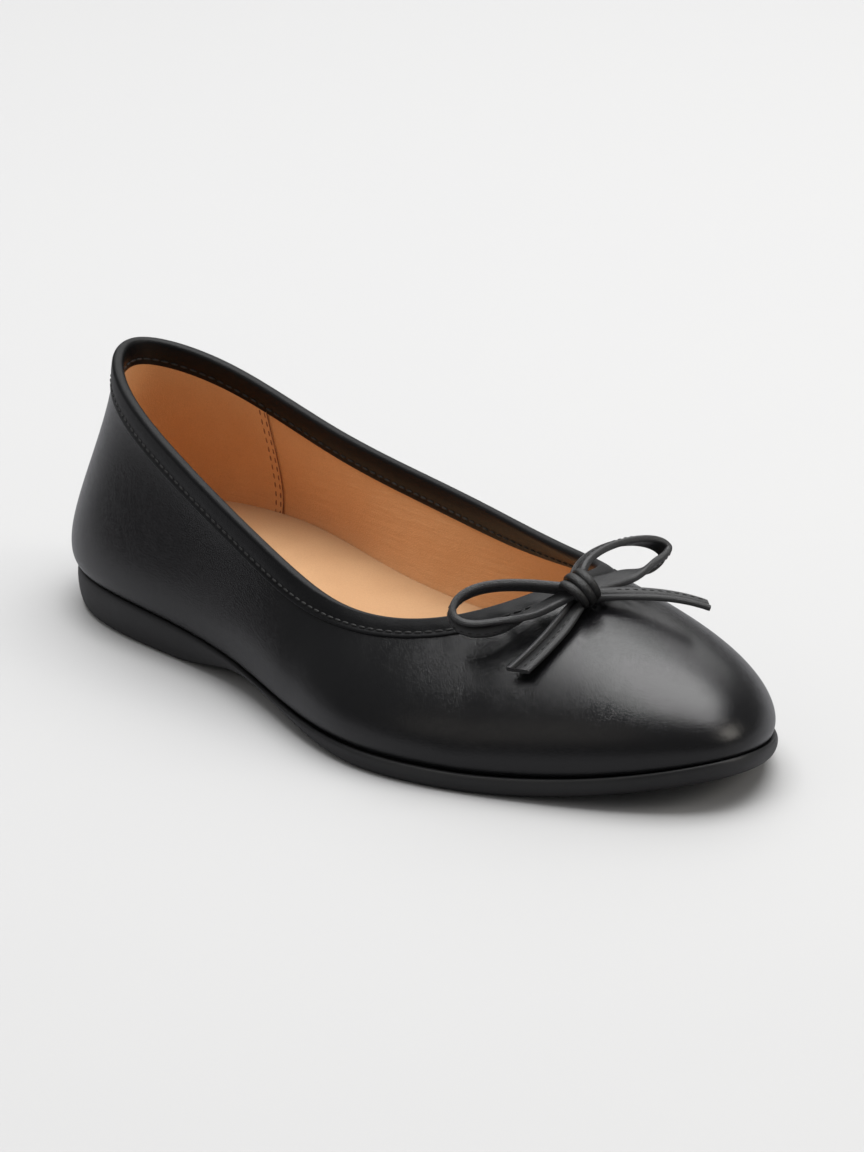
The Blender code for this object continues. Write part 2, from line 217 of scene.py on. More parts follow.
@dataclass(frozen=True)
class Last:
    """The form that the shoe is made on."""

    length: float = 0.250
    ball_width: float = 0.0865
    collar_height: float = 0.0615
    heel_thickness: float = 0.0102
    forepart_thickness: float = 0.0047
    toe_spring: float = 0.0078
    arch_lift_lateral: float = 0.0044
    arch_lift_medial: float = 0.0070
    lip_height: float = 0.0011
    lip_width: float = 0.0013
    wall: float = 0.0018
    seam_inset: float = 0.0034
    swell: float = 0.0100
    gap: float = 0.0003
    insole: float = 0.0077
    heel_breast: float = 0.290
    arch_peak: float = 0.440
    tread_start: float = 0.690
    tread_end: float = 0.780
    seat_end: float = 0.170
    forepart_start: float = 0.620

    def table(self) -> Array:
        """The ribs' numbers, one row each."""
        return np.array([astuple(rib) for rib in RIBS])

    def raw_outline(self, count: int) -> Array:
        """The widest line of the sole seen from above, counted from the back of the heel."""
        return ring_spline(self.table()[:, :2], count) * (self.length, self.ball_width)

    def centre(self) -> Array:
        """Middle of that line's box."""
        line = self.raw_outline(960)
        return (line.min(axis=0) + line.max(axis=0)) / 2

    def outline(self, count: int) -> Array:
        """The same line, centred on its own box."""
        return self.raw_outline(count) - self.centre()

    def outward(self, line: Array) -> Array:
        """Unit normals of a closed line in plan that runs anticlockwise, pointing out of it."""
        along = unit(np.roll(line, -1, axis=0) - np.roll(line, 1, axis=0))
        return np.column_stack([along[:, 1], -along[:, 0]])

    def along_share(self, x: Array) -> Array:
        """Place along the shoe as a share of its length."""
        return (x + self.centre()[0]) / self.length

    def spring(self, share: Array) -> Array:
        """Height that the toe end gains over the tread."""
        past = np.clip(share - self.tread_end, 0, None) / (1 - self.tread_end)
        return self.toe_spring * past**2

    def underside(self, x: Array, y: Array) -> Array:
        """Height of the sole's underside: flat under heel and ball, lifted at arch and toe.

        Args:
            x: places along the shoe.
            y: places across it.

        Returns:
            The heights.
        """
        share = self.along_share(x)
        side = np.clip(y / self.ball_width + 0.5, 0, 1)
        lift = self.arch_lift_lateral + (self.arch_lift_medial - self.arch_lift_lateral) * side
        rise = ease(share, self.heel_breast, self.arch_peak)
        fall = 1 - ease(share, self.arch_peak, self.tread_start)
        return lift * rise * fall + self.spring(share)

    def sole_edge(self, x: Array) -> Array:
        """Height of the top of the sole's lip.

        Args:
            x: places along the shoe.

        Returns:
            The heights.
        """
        share = self.along_share(x)
        fall = ease(share, self.seat_end, self.forepart_start)
        thick = self.heel_thickness + (self.forepart_thickness - self.heel_thickness) * fall
        return thick + self.spring(share)

    def sole_floor(self, x: Array) -> Array:
        """Height of the sole's top surface inside its lip."""
        return self.sole_edge(x) - self.lip_height


@dataclass(frozen=True)
class Fold:
    """A soft trough or ridge in the upper's leather.

    below is its distance under the crest, slant its direction in degrees from level, long and
    wide its half sizes, and deep its depth, negative for a ridge.
    """

    turn: float
    below: float
    slant: float
    long: float
    wide: float
    deep: float


FOLDS = (
    Fold(0.345, 0.030, 78, 0.022, 0.0060, 0.00022),
    Fold(0.372, 0.026, 70, 0.018, 0.0050, -0.00010),
    Fold(0.300, 0.022, 84, 0.016, 0.0055, 0.00020),
    Fold(0.395, 0.034, 60, 0.016, 0.0045, 0.00025),
    Fold(0.240, 0.020, 30, 0.020, 0.0060, 0.00026),
    Fold(0.640, 0.026, 104, 0.020, 0.0055, 0.00032),
    Fold(0.672, 0.024, 98, 0.018, 0.0050, -0.00020),
    Fold(0.705, 0.022, 90, 0.016, 0.0055, 0.00028),
    Fold(0.455, 0.013, 80, 0.006, 0.0022, 0.00018),
    Fold(0.435, 0.012, 84, 0.006, 0.0022, 0.00018),
    Fold(0.530, 0.013, 98, 0.006, 0.0022, 0.00018),
    Fold(0.552, 0.012, 95, 0.006, 0.0022, 0.00018),
)


class Wall:
    """The upper's outer face on a dense net, which places all that lies on or inside it."""

    def __init__(self, last: Last, columns: int = 480, samples: int = 121) -> None:
        """Works the net out.

        Args:
            last: the shoe's form.
            columns: ribs round the shoe.
            samples: points up each rib.
        """
        self.last = last
        self.columns = columns
        self.samples = samples
        self.points = self._ribs()
        self.normals = self._normals(self.points)
        self.lengths = np.linalg.norm(np.diff(self.points, axis=1), axis=2).sum(axis=1)

    def _ribs(self) -> Array:
        """Bends every rib, from seam to crest, with its points the same distance apart.

        Returns:
            The places as [rib, sample, xyz].
        """
        last, count = self.last, self.columns
        line = last.outline(count)
        normal = last.outward(line)
        plan = line - normal * last.seam_inset
        foot = np.column_stack([plan, last.sole_floor(plan[:, 0]) + last.gap])
        table = last.table()
        top = ring_spline(table[:, 2:5], count)
        top = top * (last.length, last.ball_width, last.collar_height)
        top[:, :2] -= last.centre()
        tuck, swell, height, run, drop = ring_spline(table[:, 5:], count).T[:, :, None]
        out = np.column_stack([normal, np.zeros(count)])
        rise = (top[:, 2] - foot[:, 2])[:, None] * (0, 0, 1)
        span = (foot - top) * (1, 1, 0)
        poles = np.stack(
            [
                foot,
                foot + out * tuck * last.seam_inset + rise * height / 8,
                foot + out * (last.seam_inset + swell * last.swell) + rise * height,
                top + span * run - rise * drop,
                top,
            ]
        )
        curves = np.moveaxis(bezier(poles, 4 * self.samples), 0, 1)
        return np.array([self._evenly(curve) for curve in curves])

    def _evenly(self, curve: Array) -> Array:
        """The same curve with its points the same distance apart."""
        gone = travelled(curve)
        return read_along(curve, gone, np.linspace(0, gone[-1], self.samples))

    def _normals(self, points: Array) -> Array:
        """Unit normals of a net of points, pointing out of the shoe."""
        across = np.roll(points, -1, axis=0) - np.roll(points, 1, axis=0)
        return unit(np.cross(across, np.gradient(points, axis=1)))

    def length_at(self, turn: Array) -> Array:
        """Length of the rib at each turn, from seam to crest."""
        rib = np.mod(turn, 1) * self.columns
        return np.interp(rib, np.arange(self.columns + 1), closed_ring(self.lengths))

    def at(self, turn: Array, share: Array, lift: Array | float = 0.0) -> Array:
        """Points on or off the face.

        Args:
            turn: shares of the way round.
            share: shares of the way up the rib.
            lift: distances off the face.

        Returns:
            The points, with xyz as the last axis.
        """
        turn, share, lift = np.broadcast_arrays(np.mod(turn, 1), np.clip(share, 0, 1), lift)
        rib, place = turn * self.columns, share * (self.samples - 1)
        left = rib.astype(int) % self.columns
        right = (left + 1) % self.columns
        low = np.minimum(place.astype(int), self.samples - 2)
        b, d = (rib - rib.astype(int))[..., None], (place - low)[..., None]

        def read(net: Array) -> Array:
            """Blends the four nearest entries.

            Args:
                net: a net with the face's ribs and samples.

            Returns:
                The blended entries.
            """
            lower = net[left, low] * (1 - b) + net[right, low] * b
            upper = net[left, low + 1] * (1 - b) + net[right, low + 1] * b
            return lower * (1 - d) + upper * d

        return read(self.points) + unit(read(self.normals)) * lift[..., None]

    def below(self, turn: Array, distance: Array | float, lift: Array | float = 0.0) -> Array:
        """Points at a distance below the crest, moved off the face by lift."""
        return self.at(turn, 1 - distance / self.length_at(turn), lift)

    def above_floor(self, turn: Array, height: float, lift: float) -> Array:
        """Finds the points of the lifted face at one height above the sole's floor.

        Args:
            turn: shares of the way round.
            height: the height over the floor.
            lift: distance off the face.

        Returns:
            The points, one row each.
        """
        shares = np.linspace(0, 1, self.samples)
        rows = self.at(turn[:, None], shares[None, :], lift)
        heights = rows[:, :, 2] - self.last.sole_floor(rows[:, :, 0])
        place = np.array([np.interp(height, row, shares) for row in heights])
        return self.at(turn, place, lift)

    def frame_at(self, turn: float, distance: float, lift: float) -> tuple[Array, Array, Array]:
        """Finds how the face lies at one place.

        Args:
            turn: share of the way round.
            distance: distance below the crest.
            lift: distance off the face.

        Returns:
            The point, the direction round the shoe and the normal.
        """
        step = 0.25 / self.columns
        ends = self.below(np.array([turn - step, turn, turn + step]), distance, lift)
        off = self.below(np.array([turn]), distance, lift + MM)[0]
        return ends[1], unit(ends[2] - ends[0]), unit(off - ends[1])


def mapped_mesh() -> bmesh.types.BMesh:
    """Starts an empty mesh with a map.

    Returns:
        The mesh.
    """
    mesh = bmesh.new()
    mesh.loops.layers.uv.new("UVMap")
    return mesh


def bend_grid(net: Array, mesh: bmesh.types.BMesh | None = None) -> bmesh.types.BMesh:
    """Lays a grid over a net of places and closes it where its edges meet.

    Args:
        net: places as [row, column, xyz].
        mesh: the mesh that gains the grid, or None for a new one.

    Returns:
        The mesh.
    """
    if mesh is None:
        mesh = mapped_mesh()
    rows, columns = net.shape[:2]
    made = bmesh.ops.create_grid(
        mesh, x_segments=columns - 1, y_segments=rows - 1, size=0.5, calc_uvs=True
    )
    for vert, spot in zip(made["verts"], net.reshape(-1, 3)):
        vert.co = spot
    bmesh.ops.remove_doubles(mesh, verts=mesh.verts, dist=MERGE)
    return mesh


def close_ends(mesh: bmesh.types.BMesh) -> None:
    """Fills every open edge loop with one face."""
    rims = [edge for edge in mesh.edges if edge.is_boundary]
    bmesh.ops.holes_fill(mesh, edges=rims, sides=0)


def new_object(
    mesh: bmesh.types.BMesh, name: str, material: bpy.types.Material
) -> bpy.types.Object:
    """Turns a finished mesh into an object of the scene.

    Args:
        mesh: the mesh, which is freed.
        name: the object's name.
        material: its finish.

    Returns:
        The new object.
    """
    data = bpy.data.meshes.new(name)
    mesh.to_mesh(data)
    mesh.free()
    data.materials.append(material)
    made = bpy.data.objects.new(name, data)
    bpy.context.scene.collection.objects.link(made)
    return made


def add_piece(
    mesh: bmesh.types.BMesh,
    name: str,
    material: bpy.types.Material,
    replaces: tuple[str, ...] = (),
    sharp: float = 0.7,
) -> None:
    """Turns a finished mesh into a piece that rides on the shoe.

    Args:
        mesh: the mesh, which is freed.
        name: the piece's name.
        material: its finish.
        replaces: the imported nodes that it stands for.
        sharp: angle in radians over which an edge is shaded sharp.
    """
    bmesh.ops.recalc_face_normals(mesh, faces=mesh.faces)
    piece = new_object(mesh, name, material)
    piece.data.shade_smooth()
    piece.data.set_sharp_from_angle(angle=sharp)
    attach(piece, BODY)
    if replaces:
        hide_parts(*replaces)
    LOG.info("%s: %d faces", name, len(piece.data.polygons))


def ladder(ring: Array, across: int, height: Callable[[Array], Array] | None = None) -> Array:
    """Net across a closed ring, from heel to toe, with its faces up.

    Args:
        ring: an even number of places, counted from the back of the heel by the lateral side.
        across: faces from the medial to the lateral side.
        height: gives each place's height from its places, or None to keep the ring's own.

    Returns:
        The places as [row, column, xyz].
    """
    half = len(ring) // 2
    lateral = ring[: half + 1]
    medial = np.roll(ring[::-1], 1, axis=0)[: half + 1]
    t = np.linspace(0, 1, across + 1)[None, :, None]
    net = medial[:, None] * (1 - t) + lateral[:, None] * t
    if height is not None:
        edge = (t[..., 0] == 0) | (t[..., 0] == 1)
        net[:, :, 2] = np.where(edge, net[:, :, 2], height(net))
    return net


class Tree:
    """A node tree that is being built."""

    def __init__(self, tree: bpy.types.NodeTree) -> None:
        """Starts on an empty tree."""
        self.tree = tree
        tree.nodes.clear()

    def add(self, kind: str, inputs: dict | None = None, **settings: object) -> bpy.types.Node:
        """Adds a node.

        Args:
            kind: the node's type, without its ShaderNode prefix.
            inputs: what each input gets, by name or number: a socket to link, or a value.
            settings: the node's own properties.

        Returns:
            The node.
        """
        prefix = "" if kind.startswith("NodeGroup") else "ShaderNode"
        node = self.tree.nodes.new(prefix + kind)
        for key, value in settings.items():
            setattr(node, key, value)
        for key, value in (inputs or {}).items():
            if isinstance(value, bpy.types.NodeSocket):
                self.tree.links.new(value, node.inputs[key])
            else:
                node.inputs[key].default_value = value
        return node

    def place_group(self, tree: bpy.types.NodeTree, inputs: dict) -> bpy.types.bpy_prop_collection:
        """Outputs of a node group that is fed these inputs."""
        return self.add("Group", inputs, node_tree=tree).outputs

    def maths(self, operation: str, *values: object) -> bpy.types.NodeSocket:
        """Result of a Math node on sockets or numbers."""
        return self.add("Math", dict(enumerate(values)), operation=operation).outputs[0]

    def spread(
        self, value: object, low: float, high: float, to_low: float, to_high: float
    ) -> bpy.types.NodeSocket:
        """Result of a Map Range node, clamped."""
        inputs = {0: value, 1: low, 2: high, 3: to_low, 4: to_high}
        return self.add("MapRange", inputs).outputs[0]

    def mix(self, share: object, first: object, second: object) -> bpy.types.NodeSocket:
        """Result of a colour mix."""
        return self.add("Mix", {0: share, 6: first, 7: second}, data_type="RGBA").outputs[2]


class Socket(Enum):
    """Kinds of group socket."""

    NUMBER = "NodeSocketFloat"
    COLOUR = "NodeSocketColor"
    VECTOR = "NodeSocketVector"


def group(name: str, inputs: dict[str, Socket], outputs: dict[str, Socket]) -> tuple[Tree, object]:
    """Starts a shader node group.

    Args:
        name: the group's name.
        inputs: its inputs, by name.
        outputs: its outputs, by name.

    Returns:
        The tree and its input node.
    """
    tree = bpy.data.node_groups.new(name, "ShaderNodeTree")
    for way, sockets in (("INPUT", inputs), ("OUTPUT", outputs)):
        for label, kind in sockets.items():
            tree.interface.new_socket(name=label, in_out=way, socket_type=kind.value)
    build = Tree(tree)
    return build, build.add("NodeGroupInput")


class Effects:
    """Node groups that several finishes share."""

    def __init__(self) -> None:
        """Builds every group once."""
        self.grain = self._grain()
        self.drift = self._drift()
        self.seam = self._seam()

    def _grain(self) -> bpy.types.NodeTree:
        """Leather grain: small pebbles with valleys between them, uneven in height.

        Returns:
            The group, with inputs Place and Cells per metre and outputs Height and Valley.
        """
        build, start = group(
            "leather_grain",
            {"Place": Socket.VECTOR, "Cells": Socket.NUMBER},
            {"Height": Socket.NUMBER, "Valley": Socket.NUMBER},
        )
        place, cells = start.outputs["Place"], start.outputs["Cells"]
        warp = build.add("TexNoise", {"Vector": place, "Scale": 260.0, "Detail": 2.0})
        shift = build.add(
            "VectorMath", {0: warp.outputs["Color"], "Scale": 0.0012}, operation="SCALE"
        )
        moved = build.add("VectorMath", {0: place, 1: shift.outputs[0]}, operation="ADD")
        pebbles = build.add(
            "TexVoronoi", {"Vector": moved.outputs[0], "Scale": cells}, feature="DISTANCE_TO_EDGE"
        )
        valley = build.spread(pebbles.outputs["Distance"], 0.0, 0.22, 1.0, 0.0)
        uneven = build.add("TexNoise", {"Vector": place, "Scale": cells, "Detail": 3.0})
        swing = build.maths("MULTIPLY", uneven.outputs["Fac"], 0.9)
        height = build.maths("SUBTRACT", swing, build.maths("MULTIPLY", valley, 0.45))
        build.add("NodeGroupOutput", {"Height": height, "Valley": valley})
        return build.tree

    def _drift(self) -> bpy.types.NodeTree:
        """Slow cloudy change from one colour, and one roughness, to another.

        Returns:
            The group, with inputs Place, Patches per metre, First, Second, Smooth and Rough and
            outputs Colour, Roughness and Cloud.
        """
        build, start = group(
            "soft_drift",
            {
                "Place": Socket.VECTOR,
                "Patches": Socket.NUMBER,
                "First": Socket.COLOUR,
                "Second": Socket.COLOUR,
                "Smooth": Socket.NUMBER,
                "Rough": Socket.NUMBER,
            },
            {"Colour": Socket.COLOUR, "Roughness": Socket.NUMBER, "Cloud": Socket.NUMBER},
        )
        inputs = start.outputs
        patches = {"Vector": inputs["Place"], "Scale": inputs["Patches"]}
        noise = build.add("TexNoise", {**patches, "Detail": 4.0, "Roughness": 0.55})
        cloud = build.spread(noise.outputs["Fac"], 0.32, 0.68, 0.0, 1.0)
        colour = build.mix(cloud, inputs["First"], inputs["Second"])
        width = build.maths("SUBTRACT", inputs["Rough"], inputs["Smooth"])
        rough = build.maths("MULTIPLY_ADD", cloud, width, inputs["Smooth"])
        build.add("NodeGroupOutput", {"Colour": colour, "Roughness": rough, "Cloud": cloud})
        return build.tree

    def _seam(self) -> bpy.types.NodeTree:
        """A closed seam where the piece's own map starts and ends.

        Returns:
            The group, with inputs Turn and Half width in turns and outputs Height and Line.
        """
        build, start = group(
            "closed_seam",
            {"Turn": Socket.NUMBER, "Half width": Socket.NUMBER},
            {"Height": Socket.NUMBER, "Line": Socket.NUMBER},
        )
        middle = build.maths("ABSOLUTE", build.maths("SUBTRACT", start.outputs["Turn"], 0.5))
        away = build.maths("SUBTRACT", 0.5, middle)
        share = build.maths("DIVIDE", away, start.outputs["Half width"])
        line = build.spread(share, 0.0, 1.0, 1.0, 0.0)
        off_shoulder = build.maths("ABSOLUTE", build.maths("SUBTRACT", share, 2.0))
        shoulder = build.spread(off_shoulder, 0.0, 1.4, 1.0, 0.0)
        height = build.maths("SUBTRACT", build.maths("MULTIPLY", shoulder, 0.35), line)
        build.add("NodeGroupOutput", {"Height": height, "Line": line})
        return build.tree


def rgba(colour: Colour) -> tuple[float, float, float, float]:
    """The colour with full alpha."""
    return (*colour, 1.0)


class Dressing(Tree):
    """A material whose colour and roughness drift slowly between two looks."""

    def __init__(
        self,
        name: str,
        effects: Effects,
        patches: float,
        colours: tuple[Colour, Colour],
        roughness: tuple[float, float],
    ) -> None:
        """Starts the material.

        Args:
            name: its name.
            effects: the shared node groups.
            patches: cloudy patches per metre.
            colours: the two colours.
            roughness: the roughness that goes with each.
        """
        self.material = bpy.data.materials.new(name)
        self.material.use_nodes = True
        super().__init__(self.material.node_tree)
        self.coords = self.add("TexCoord").outputs
        self.place = self.coords["Object"]
        inputs = {
            "Place": self.place,
            "Patches": patches,
            "First": rgba(colours[0]),
            "Second": rgba(colours[1]),
            "Smooth": roughness[0],
            "Rough": roughness[1],
        }
        self.drift = self.place_group(effects.drift, inputs)

    def bump(self, height: object, distance: float, over: object = None) -> bpy.types.NodeSocket:
        """Adds a bump.

        Args:
            height: the socket that gives its height.
            distance: how far a height of 1 stands out.
            over: the normal that it is laid over, if any.

        Returns:
            Its normal.
        """
        inputs = {"Strength": 1.0, "Distance": distance, "Height": height}
        if over is not None:
            inputs["Normal"] = over
        return self.add("Bump", inputs).outputs["Normal"]

    def shade(self, inputs: dict) -> bpy.types.Material:
        """Adds the shader.

        Args:
            inputs: what it gets beside, or in place of, the drift's colour and roughness.

        Returns:
            The finished material.
        """
        looks = {"Base Color": self.drift["Colour"], "Roughness": self.drift["Roughness"]}
        shader = self.add("BsdfPrincipled", {**looks, **inputs})
        self.add("OutputMaterial", {"Surface": shader.outputs[0]})
        return self.material


@dataclass(frozen=True)
class SatinLeather:
    """Smooth black leather: fine grain under a satin top coat."""

    name: str
    colour: Colour = (0.0040, 0.0041, 0.0047)
    rubbed: Colour = (0.0058, 0.0059, 0.0065)
    # Painted shade: the seam line's colour, darker to stand in for the shade in its groove.
    seam_shade: Colour = (0.002, 0.002, 0.002)
    cells: float = 1900.0
    patches: float = 26.0
    relief: float = 0.000040
    smooth: float = 0.19
    rough: float = 0.25
    coat: float = 0.12
    coat_roughness: float = 0.20
    specular: float = 0.5
    seam_width: float = 0.0
    seam_depth: float = 0.0006

    def build(self, effects: Effects) -> bpy.types.Material:
        """Builds the material.

        Args:
            effects: the shared node groups.

        Returns:
            The material.
        """
        pair, roughness = (self.colour, self.rubbed), (self.smooth, self.rough)
        dress = Dressing(self.name, effects, self.patches, pair, roughness)
        grain = dress.place_group(effects.grain, {"Place": dress.place, "Cells": self.cells})
        normal = dress.bump(grain["Height"], self.relief)
        colour = dress.drift["Colour"]
        if self.seam_width:
            turn = dress.add("SeparateXYZ", {0: dress.coords["UV"]}).outputs["X"]
            sides = {"Turn": turn, "Half width": self.seam_width}
            seam = dress.place_group(effects.seam, sides)
            normal = dress.bump(seam["Height"], self.seam_depth, normal)
            # The seam line is painted darker: painted shade in the seam's groove.
            colour = dress.mix(seam["Line"], colour, rgba(self.seam_shade))
        return dress.shade(
            {
                "Base Color": colour,
                "Normal": normal,
                "Coat Weight": self.coat,
                "Coat Roughness": self.coat_roughness,
                "Specular IOR Level": self.specular,
            }
        )


@dataclass(frozen=True)
class TanLeather:
    """Undyed tan leather of lining and sock: matt, with open pores and cloudy colour."""

    name: str
    colour: Colour = (0.655, 0.332, 0.138)
    pale: Colour = (0.715, 0.386, 0.174)
    cells: float = 1700.0
    patches: float = 38.0
    relief: float = 0.00006
    smooth: float = 0.50
    rough: float = 0.64
    pore_share: float = 0.16
    pore_tone: float = 0.55
    wrinkles: float = 0.00032
    wrinkle_scale: tuple[float, float, float] = (70.0, 110.0, 620.0)

    def build(self, effects: Effects) -> bpy.types.Material:
        """Builds the material.

        Args:
            effects: the shared node groups.

        Returns:
            The material.
        """
        pair, roughness = (self.colour, self.pale), (self.smooth, self.rough)
        dress = Dressing(self.name, effects, self.patches, pair, roughness)
        grain = dress.place_group(effects.grain, {"Place": dress.place, "Cells": self.cells})
        pores = dress.maths("MULTIPLY", grain["Valley"], self.pore_share)
        dark = tuple(value * self.pore_tone for value in self.colour)
        colour = dress.mix(pores, dress.drift["Colour"], rgba(dark))
        drawn = dress.add("Mapping", {"Vector": dress.place, "Scale": self.wrinkle_scale})
        waves = dress.add("TexNoise", {"Vector": drawn.outputs[0], "Scale": 1.0, "Detail": 3.0})
        folds = dress.maths("MULTIPLY", waves.outputs["Fac"], dress.drift["Cloud"])
        normal = dress.bump(grain["Height"], self.relief, dress.bump(folds, self.wrinkles))
        return dress.shade(
            {
                "Base Color": colour,
                "Normal": normal,
                "Specular IOR Level": 0.35,
                "Sheen Weight": 0.08,
                "Sheen Roughness": 0.5,
            }
        )


@dataclass(frozen=True)
class MouldedRubber:
    """Black sole rubber: a soft mould stipple and faint dusty patches."""

    name: str = "sole_rubber"
    colour: Colour = (0.0132, 0.0133, 0.0141)
    dusty: Colour = (0.0195, 0.0195, 0.0202)
    patches: float = 45.0
    stipple: float = 2600.0
    relief: float = 0.00003
    smooth: float = 0.40
    rough: float = 0.52

    def build(self, effects: Effects) -> bpy.types.Material:
        """Builds the material.

        Args:
            effects: the shared node groups.

        Returns:
            The material.
        """
        pair, roughness = (self.colour, self.dusty), (self.smooth, self.rough)
        dress = Dressing(self.name, effects, self.patches, pair, roughness)
        noise = dress.add("TexNoise", {"Vector": dress.place, "Scale": self.stipple, "Detail": 2.0})
        normal = dress.bump(noise.outputs["Fac"], self.relief)
        return dress.shade({"Normal": normal, "Specular IOR Level": 0.45})


@dataclass(frozen=True)
class Thread:
    """Twisted sewing thread."""

    name: str
    colour: Colour
    fibre: Colour
    fibres: float = 900.0
    smooth: float = 0.60
    rough: float = 0.75
    relief: float = 0.00005
    sheen: float = 0.15

    def build(self, effects: Effects) -> bpy.types.Material:
        """Builds the material.

        Args:
            effects: the shared node groups.

        Returns:
            The material.
        """
        pair, roughness = (self.colour, self.fibre), (self.smooth, self.rough)
        dress = Dressing(self.name, effects, self.fibres, pair, roughness)
        normal = dress.bump(dress.drift["Cloud"], self.relief)
        return dress.shade({"Normal": normal, "Sheen Weight": self.sheen})


@dataclass(frozen=True)
class StudioPaper:
    """Matt white paper, painted paler far from the shoe and painted dimmer where leather mirrors
    it.
    """

    name: str = "studio_paper"
    # Painted reflection: the paper's colour as gloss rays see it, darker so the leather mirrors it
    # dimly.
    mirrored: Colour = (0.21, 0.21, 0.22)
    colour: Colour = (0.458, 0.458, 0.458)
    cloudy: Colour = (0.448, 0.448, 0.450)
    # Painted light: the paper is painted paler towards far_radius, standing in for softbox light
    # that falls off there.
    far: Colour = (0.900, 0.900, 0.902)
    patches: float = 3.0
    smooth: float = 0.55
    rough: float = 0.62
    near_radius: float = 0.8
    far_radius: float = 3.2

    def build(self, effects: Effects) -> bpy.types.Material:
        """Builds the material.

        Args:
            effects: the shared node groups.

        Returns:
            The material.
        """
        pair, roughness = (self.colour, self.cloudy), (self.smooth, self.rough)
        dress = Dressing(self.name, effects, self.patches, pair, roughness)
        radius = dress.add("VectorMath", {0: dress.place}, operation="LENGTH").outputs["Value"]
        # Painted light: paler with distance from the shoe.
        out = dress.spread(radius, self.near_radius, self.far_radius, 0.0, 1.0)
        colour = dress.mix(out, dress.drift["Colour"], rgba(self.far))
        # Painted reflection: gloss rays see the paper darker.
        glossy = dress.add("LightPath").outputs["Is Glossy Ray"]
        colour = dress.mix(glossy, colour, rgba(self.mirrored))
        return dress.shade({"Base Color": colour, "Specular IOR Level": 0.3})


@dataclass
class Stitches:
    """A row of sewn stitches as small capsules of thread, joined in one piece."""

    pitch: float = 0.0028
    length: float = 0.0021
    width: float = 0.00055
    height: float = 0.00042
    look_ahead: float = 0.0004
    sides: int = 8
    steps: int = 6

    def sew(self, mesh: bmesh.types.BMesh, spot: Array, along: Array, normal: Array) -> None:
        """Adds one stitch.

        Args:
            mesh: the mesh that gains it.
            spot: its middle.
            along: the row's direction there.
            normal: the surface's normal there.
        """
        across = np.cross(normal, along)
        turned = Matrix((across, normal, along)).transposed().to_4x4()
        sized = Matrix.Diagonal((self.width / 2, self.height / 2, self.length / 2, 1))
        bmesh.ops.create_uvsphere(
            mesh,
            u_segments=self.sides,
            v_segments=self.steps,
            radius=1.0,
            matrix=Matrix.Translation(Vector(spot)) @ turned @ sized,
            calc_uvs=True,
        )

    def row(self, path: Array, normals: Array, mesh: bmesh.types.BMesh) -> None:
        """Sews along an open path.

        Args:
            path: the row's line, one point a row.
            normals: the surface's normals there.
            mesh: the mesh that gains the stitches.
        """
        gone = travelled(path)
        count = int(round(gone[-1] / self.pitch))
        wanted = (np.arange(count) + 0.5) * gone[-1] / count
        spots = read_along(path, gone, wanted)
        offs = unit(read_along(normals, gone, wanted))
        ahead = read_along(path, gone, wanted + self.look_ahead)
        for spot, off, front in zip(spots, offs, ahead):
            along = unit(front - spot)
            self.sew(mesh, spot, along, unit(off - along * (off @ along)))


